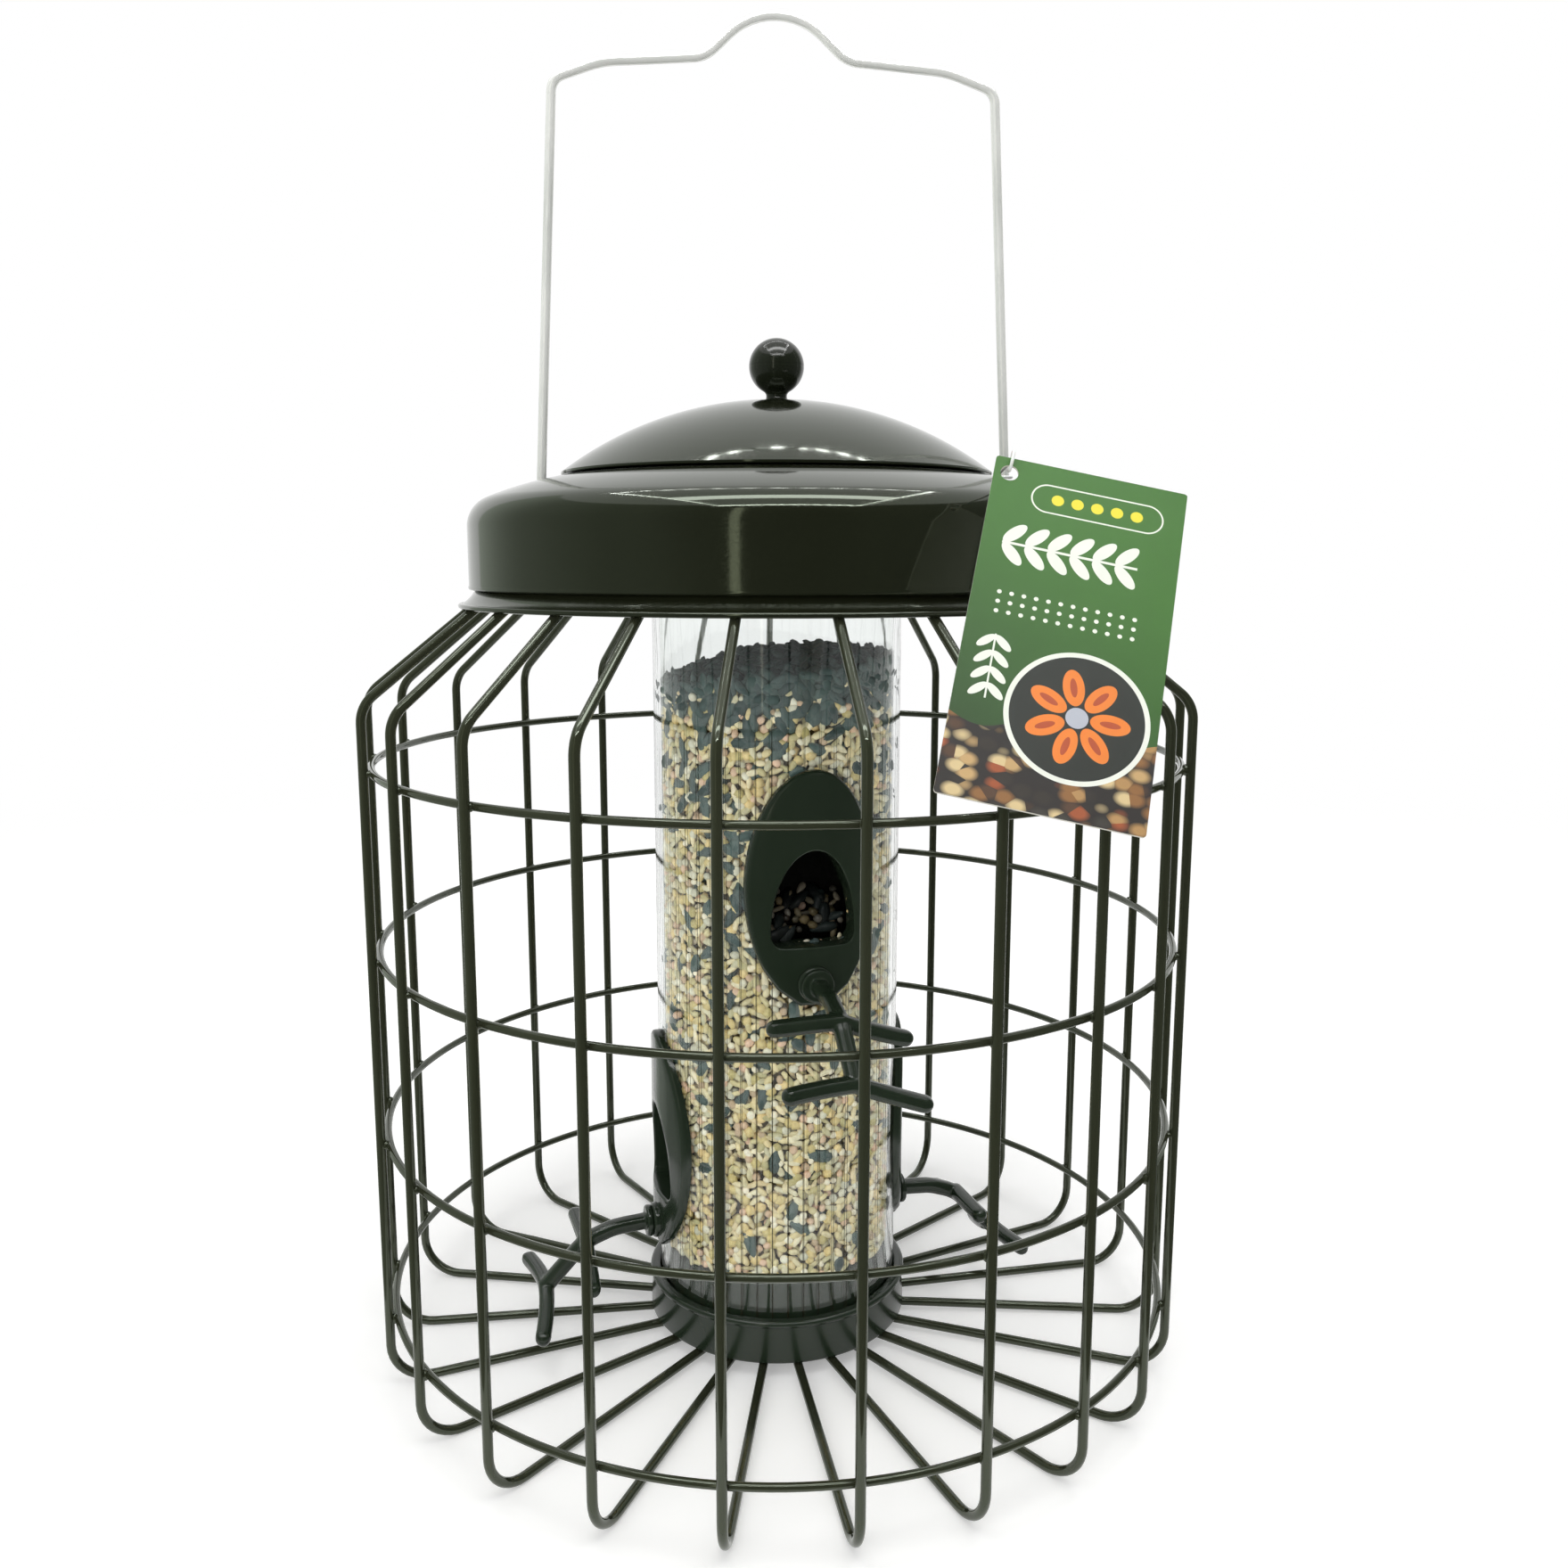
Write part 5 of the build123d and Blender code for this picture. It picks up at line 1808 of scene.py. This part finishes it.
def sprig(tree, along, across, count, pitch, leaf):
    """Is 1 on a straight stem with pairs of leaves that lean along it."""
    half_length, half_width, lift = leaf
    cell = calc(tree, "SUBTRACT", calc(tree, "WRAP", along, pitch, 0.0), pitch / 2)
    side = calc(tree, "ABSOLUTE", across)
    leaves = in_oval(tree, cell, calc(tree, "SUBTRACT", side, lift), leaf_turn, half_length, half_width)
    stem = calc(tree, "LESS_THAN", side, half_width * sprig_stem_share)
    whole = calc(tree, "MAXIMUM", leaves, stem)
    return calc(tree, "MULTIPLY", whole, in_range(tree, along, 0.0, count * pitch))


def printed_card():
    """Coated card: a mid green ground with painted shade that darkens it towards the foot and
    the left, white leaf sprigs, a row of yellow dots in a lozenge, a round rosette in orange and a band of
    brown seed."""
    material, tree, shader, place = new_material("printed_coated_card")
    spot = add_node(tree, "ShaderNodeUVMap", uv_map="print").outputs[0]
    shares = add_node(tree, "ShaderNodeSeparateXYZ", {0: spot}).outputs
    x = calc(tree, "MULTIPLY", shares[0], tag_width)
    y = calc(tree, "MULTIPLY_ADD", shares[1], -tag_length, tag_length)

    def laid_over(below, mask, colour):
        return toned(tree, mask, below, colour)

    def moved(value, by):
        return calc(tree, "SUBTRACT", value, by)

    # Painted shade: the green ground darkens from the top right towards the foot and the left.
    painted_shade_share = add_node(
        tree,
        "ShaderNodeMapRange",
        {"Value": calc(tree, "MULTIPLY_ADD", x, -0.5, y), "From Max": tag_length},
        interpolation_type="SMOOTHSTEP",
    )
    colour = laid_over(linear(green_ground_and_painted_shade[0]), painted_shade_share.outputs[0], linear(green_ground_and_painted_shade[1]))

    title_x, title_y = moved(x, title_sprig_place[0]), moved(y, title_sprig_place[1])
    title_sprig = sprig(tree, title_x, title_y, *title_sprig_leaves)
    side_x, side_y = moved(x, side_sprig_place[0]), moved(y, side_sprig_place[1])
    side_sprig = sprig(tree, side_y, side_x, *side_sprig_leaves)

    dot_x = moved(calc(tree, "WRAP", moved(x, dots_left), dot_pitch_across, 0.0), dot_pitch_across / 2)
    dot_y = moved(calc(tree, "PINGPONG", moved(y, dots_top), dot_pitch_down), dot_pitch_down / 2)
    dot = in_oval(tree, dot_x, dot_y, 0, dot_radius, dot_radius)
    dotted_across = in_range(tree, x, dots_left, dots_right)
    dotted = calc(tree, "MULTIPLY", dotted_across, in_range(tree, y, dots_top, dots_foot))
    dots = calc(tree, "MULTIPLY", dot, dotted)

    past_spine = moved(calc(tree, "ABSOLUTE", moved(x, lozenge_centre[0])), lozenge_spine)
    oblong = calc(tree, "MAXIMUM", 0.0, past_spine)
    off_spine = calc(tree, "POWER", calc(tree, "ABSOLUTE", moved(y, lozenge_centre[1])), 2.0)
    to_spine = calc(tree, "SQRT", calc(tree, "MULTIPLY_ADD", oblong, oblong, off_spine))
    lozenge = in_range(tree, to_spine, *lozenge_line)
    for mark in (title_sprig, dots, side_sprig, lozenge):
        colour = laid_over(colour, mark, linear(print_white))
    beads_left, beads_right = lozenge_centre[0] - lozenge_spine, lozenge_centre[0] + lozenge_spine
    bead_x = moved(calc(tree, "WRAP", moved(x, beads_left), bead_pitch, 0.0), bead_pitch / 2)
    bead = in_oval(tree, bead_x, moved(y, lozenge_centre[1]), 0, bead_radius, bead_radius)
    beads = calc(tree, "MULTIPLY", bead, in_range(tree, x, beads_left, beads_right))
    colour = laid_over(colour, beads, linear(print_yellow))

    squeezed = calc(tree, "MULTIPLY", x, printed_seed_squeeze)
    stretch = add_node(tree, "ShaderNodeCombineXYZ", {"X": squeezed, "Y": y})
    cells = add_node(
        tree, "ShaderNodeTexVoronoi", {"Vector": stretch.outputs[0], "Scale": 1 / printed_seed_size}
    )
    kind = add_node(tree, "ShaderNodeSeparateColor", {"Color": cells.outputs["Color"]}).outputs[0]
    ramp_node = add_node(tree, "ShaderNodeValToRGB", {"Fac": kind})
    ramp_node.color_ramp.interpolation = "CONSTANT"
    stops = ramp_node.color_ramp.elements
    for i, code in enumerate(seed_print_hexes):
        stop = stops[i] if i < 2 else stops.new(i / len(seed_print_hexes))
        stop.position = i / len(seed_print_hexes)
        stop.color = linear(code)
    rim = add_node(
        tree,
        "ShaderNodeMapRange",
        {"Value": cells.outputs["Distance"], "From Min": 0.32, "From Max": 0.62},
    )
    seeds = laid_over(ramp_node.outputs["Color"], rim.outputs[0], linear("140E08"))
    ripple = calc(tree, "SINE", calc(tree, "MULTIPLY", x, seed_band_ripple))
    band_edge = calc(tree, "MULTIPLY_ADD", ripple, seed_band_wave, seed_band_top)
    colour = laid_over(colour, calc(tree, "GREATER_THAN", y, band_edge), seeds)

    dx, dy = moved(x, rosette_centre[0]), moved(y, rosette_centre[1])
    reach = calc(tree, "SQRT", calc(tree, "MULTIPLY_ADD", dx, dx, calc(tree, "MULTIPLY", dy, dy)))
    half_petal = math.pi / petal_count
    wedge = calc(tree, "WRAP", calc(tree, "ARCTAN2", dy, dx), half_petal, -half_petal)
    petal_x = moved(calc(tree, "MULTIPLY", reach, calc(tree, "COSINE", wedge)), petal_reach)
    petal_y = calc(tree, "MULTIPLY", reach, calc(tree, "SINE", wedge))
    for mask, code in (
        (calc(tree, "LESS_THAN", reach, rosette_rim), print_white),
        (calc(tree, "LESS_THAN", reach, rosette_face), print_shade),
        (in_oval(tree, petal_x, petal_y, 0, *petal_half), print_orange),
        (in_oval(tree, petal_x, petal_y, 0, *vein_half), "A03F0C"),
        (calc(tree, "LESS_THAN", reach, rosette_eye), "A4A8B2"),
    ):
        colour = laid_over(colour, mask, linear(code))

    paper = cloudy(tree, place, paper_tone_size, 3.0)
    tone = add_node(tree, "ShaderNodeMapRange", {"Value": paper, "To Min": 0.94, "To Max": 1.05})
    inked = add_node(tree, "ShaderNodeHueSaturation", {"Color": colour, "Value": tone.outputs[0]})
    tree.links.new(inked.outputs[0], shader.inputs["Base Color"])
    shader.inputs["Roughness"].default_value = 0.5
    shader.inputs["IOR"].default_value = 1.48
    return material


def bare_card(name, pale_hex, dull_hex):
    """Uncoated white card: matt, with the faint cloudy tone of pressed pulp."""
    material, tree, shader, place = new_material(name)
    pulp_size = 3.0
    pulp = cloudy(tree, place, pulp_size, 5.0)
    colour = toned(tree, pulp, linear(pale_hex), linear(dull_hex))
    tree.links.new(colour, shader.inputs["Base Color"])
    shader.inputs["Roughness"].default_value = 0.75
    shader.inputs["IOR"].default_value = 1.48
    return material


card_low = (-tag_hole_side, tag_hole_drop - tag_length)
card_high = (tag_width - tag_hole_side, tag_hole_drop)
card_outline = []
for x, y, start in (
    (card_high[0] - tag_corner, card_high[1] - tag_corner, 0),
    (card_low[0] + tag_corner, card_high[1] - tag_corner, 90),
    (card_low[0] + tag_corner, card_low[1] + tag_corner, 180),
    (card_high[0] - tag_corner, card_low[1] + tag_corner, 270),
):
    card_outline += arc((x, y), tag_corner, start, start + 90, 6)
card = prism("card_tag", card_outline, 0, tag_thickness)
cut_away(card, prism("card_hole", arc((0, 0), tag_hole, 0, 350, 35), -1.0, tag_thickness + 1.0))
card_mesh = card.data
bpy.data.objects.remove(card)
card_mesh.materials.append(printed_card())
card_mesh.materials.append(bare_card("white_card_back", "F2F1EC", "E4E2DA"))
card_mesh.materials.append(bare_card("cut_card_edge", "DEDCD2", "C9C6BA"))
card_print = card_mesh.uv_layers.new(name="print")
for face in card_mesh.polygons:
    face.material_index = 0 if face.normal.z > 0.5 else 1 if face.normal.z < -0.5 else 2
    for corner in face.loop_indices:
        spot = card_mesh.vertices[card_mesh.loops[corner].vertex_index].co / mm
        across_share, up_share = (spot.x - card_low[0]) / tag_width, (spot.y - card_low[1]) / tag_length
        card_print.data[corner].uv = (across_share, up_share)
tag_up = tag_normal.cross(tag_across)
hole_centre = tag_hinge - tag_up * tag_hinge_rise - tag_normal * (tag_thickness / 2)
card_turn = Matrix((tag_across, tag_up, tag_normal)).transposed().to_4x4()
card_mesh.transform(Matrix.Translation(hole_centre * mm) @ card_turn)
placed("card_tag", card_mesh, "tag", ["swing_tag"])

# Tie: a thin white nylon strand, welded into a small eye through the card and a wider
# one round the bail's leg. It is the CAD model's own shape.
nylon_hexes = ("F4F5F3", "E3E6E4")


def nylon_strand():
    """White nylon: smooth and slightly waxy, a touch greyer where it was drawn thin."""
    material, tree, shader, place = new_material("white_nylon_strand")
    draw_size = 2.0
    drawn = cloudy(tree, place, draw_size, 2.0)
    colour = toned(tree, drawn, linear(nylon_hexes[0]), linear(nylon_hexes[1]))
    tree.links.new(colour, shader.inputs["Base Color"])
    shader.inputs["Roughness"].default_value = 0.35
    shader.inputs["IOR"].default_value = 1.53
    shader.inputs["Subsurface Weight"].default_value = 0.1
    shader.inputs["Subsurface Scale"].default_value = 1 * mm
    return material


tie = frame["nodes"]["tag_tie"]
tie.data.materials.clear()
tie.data.materials.append(nylon_strand())
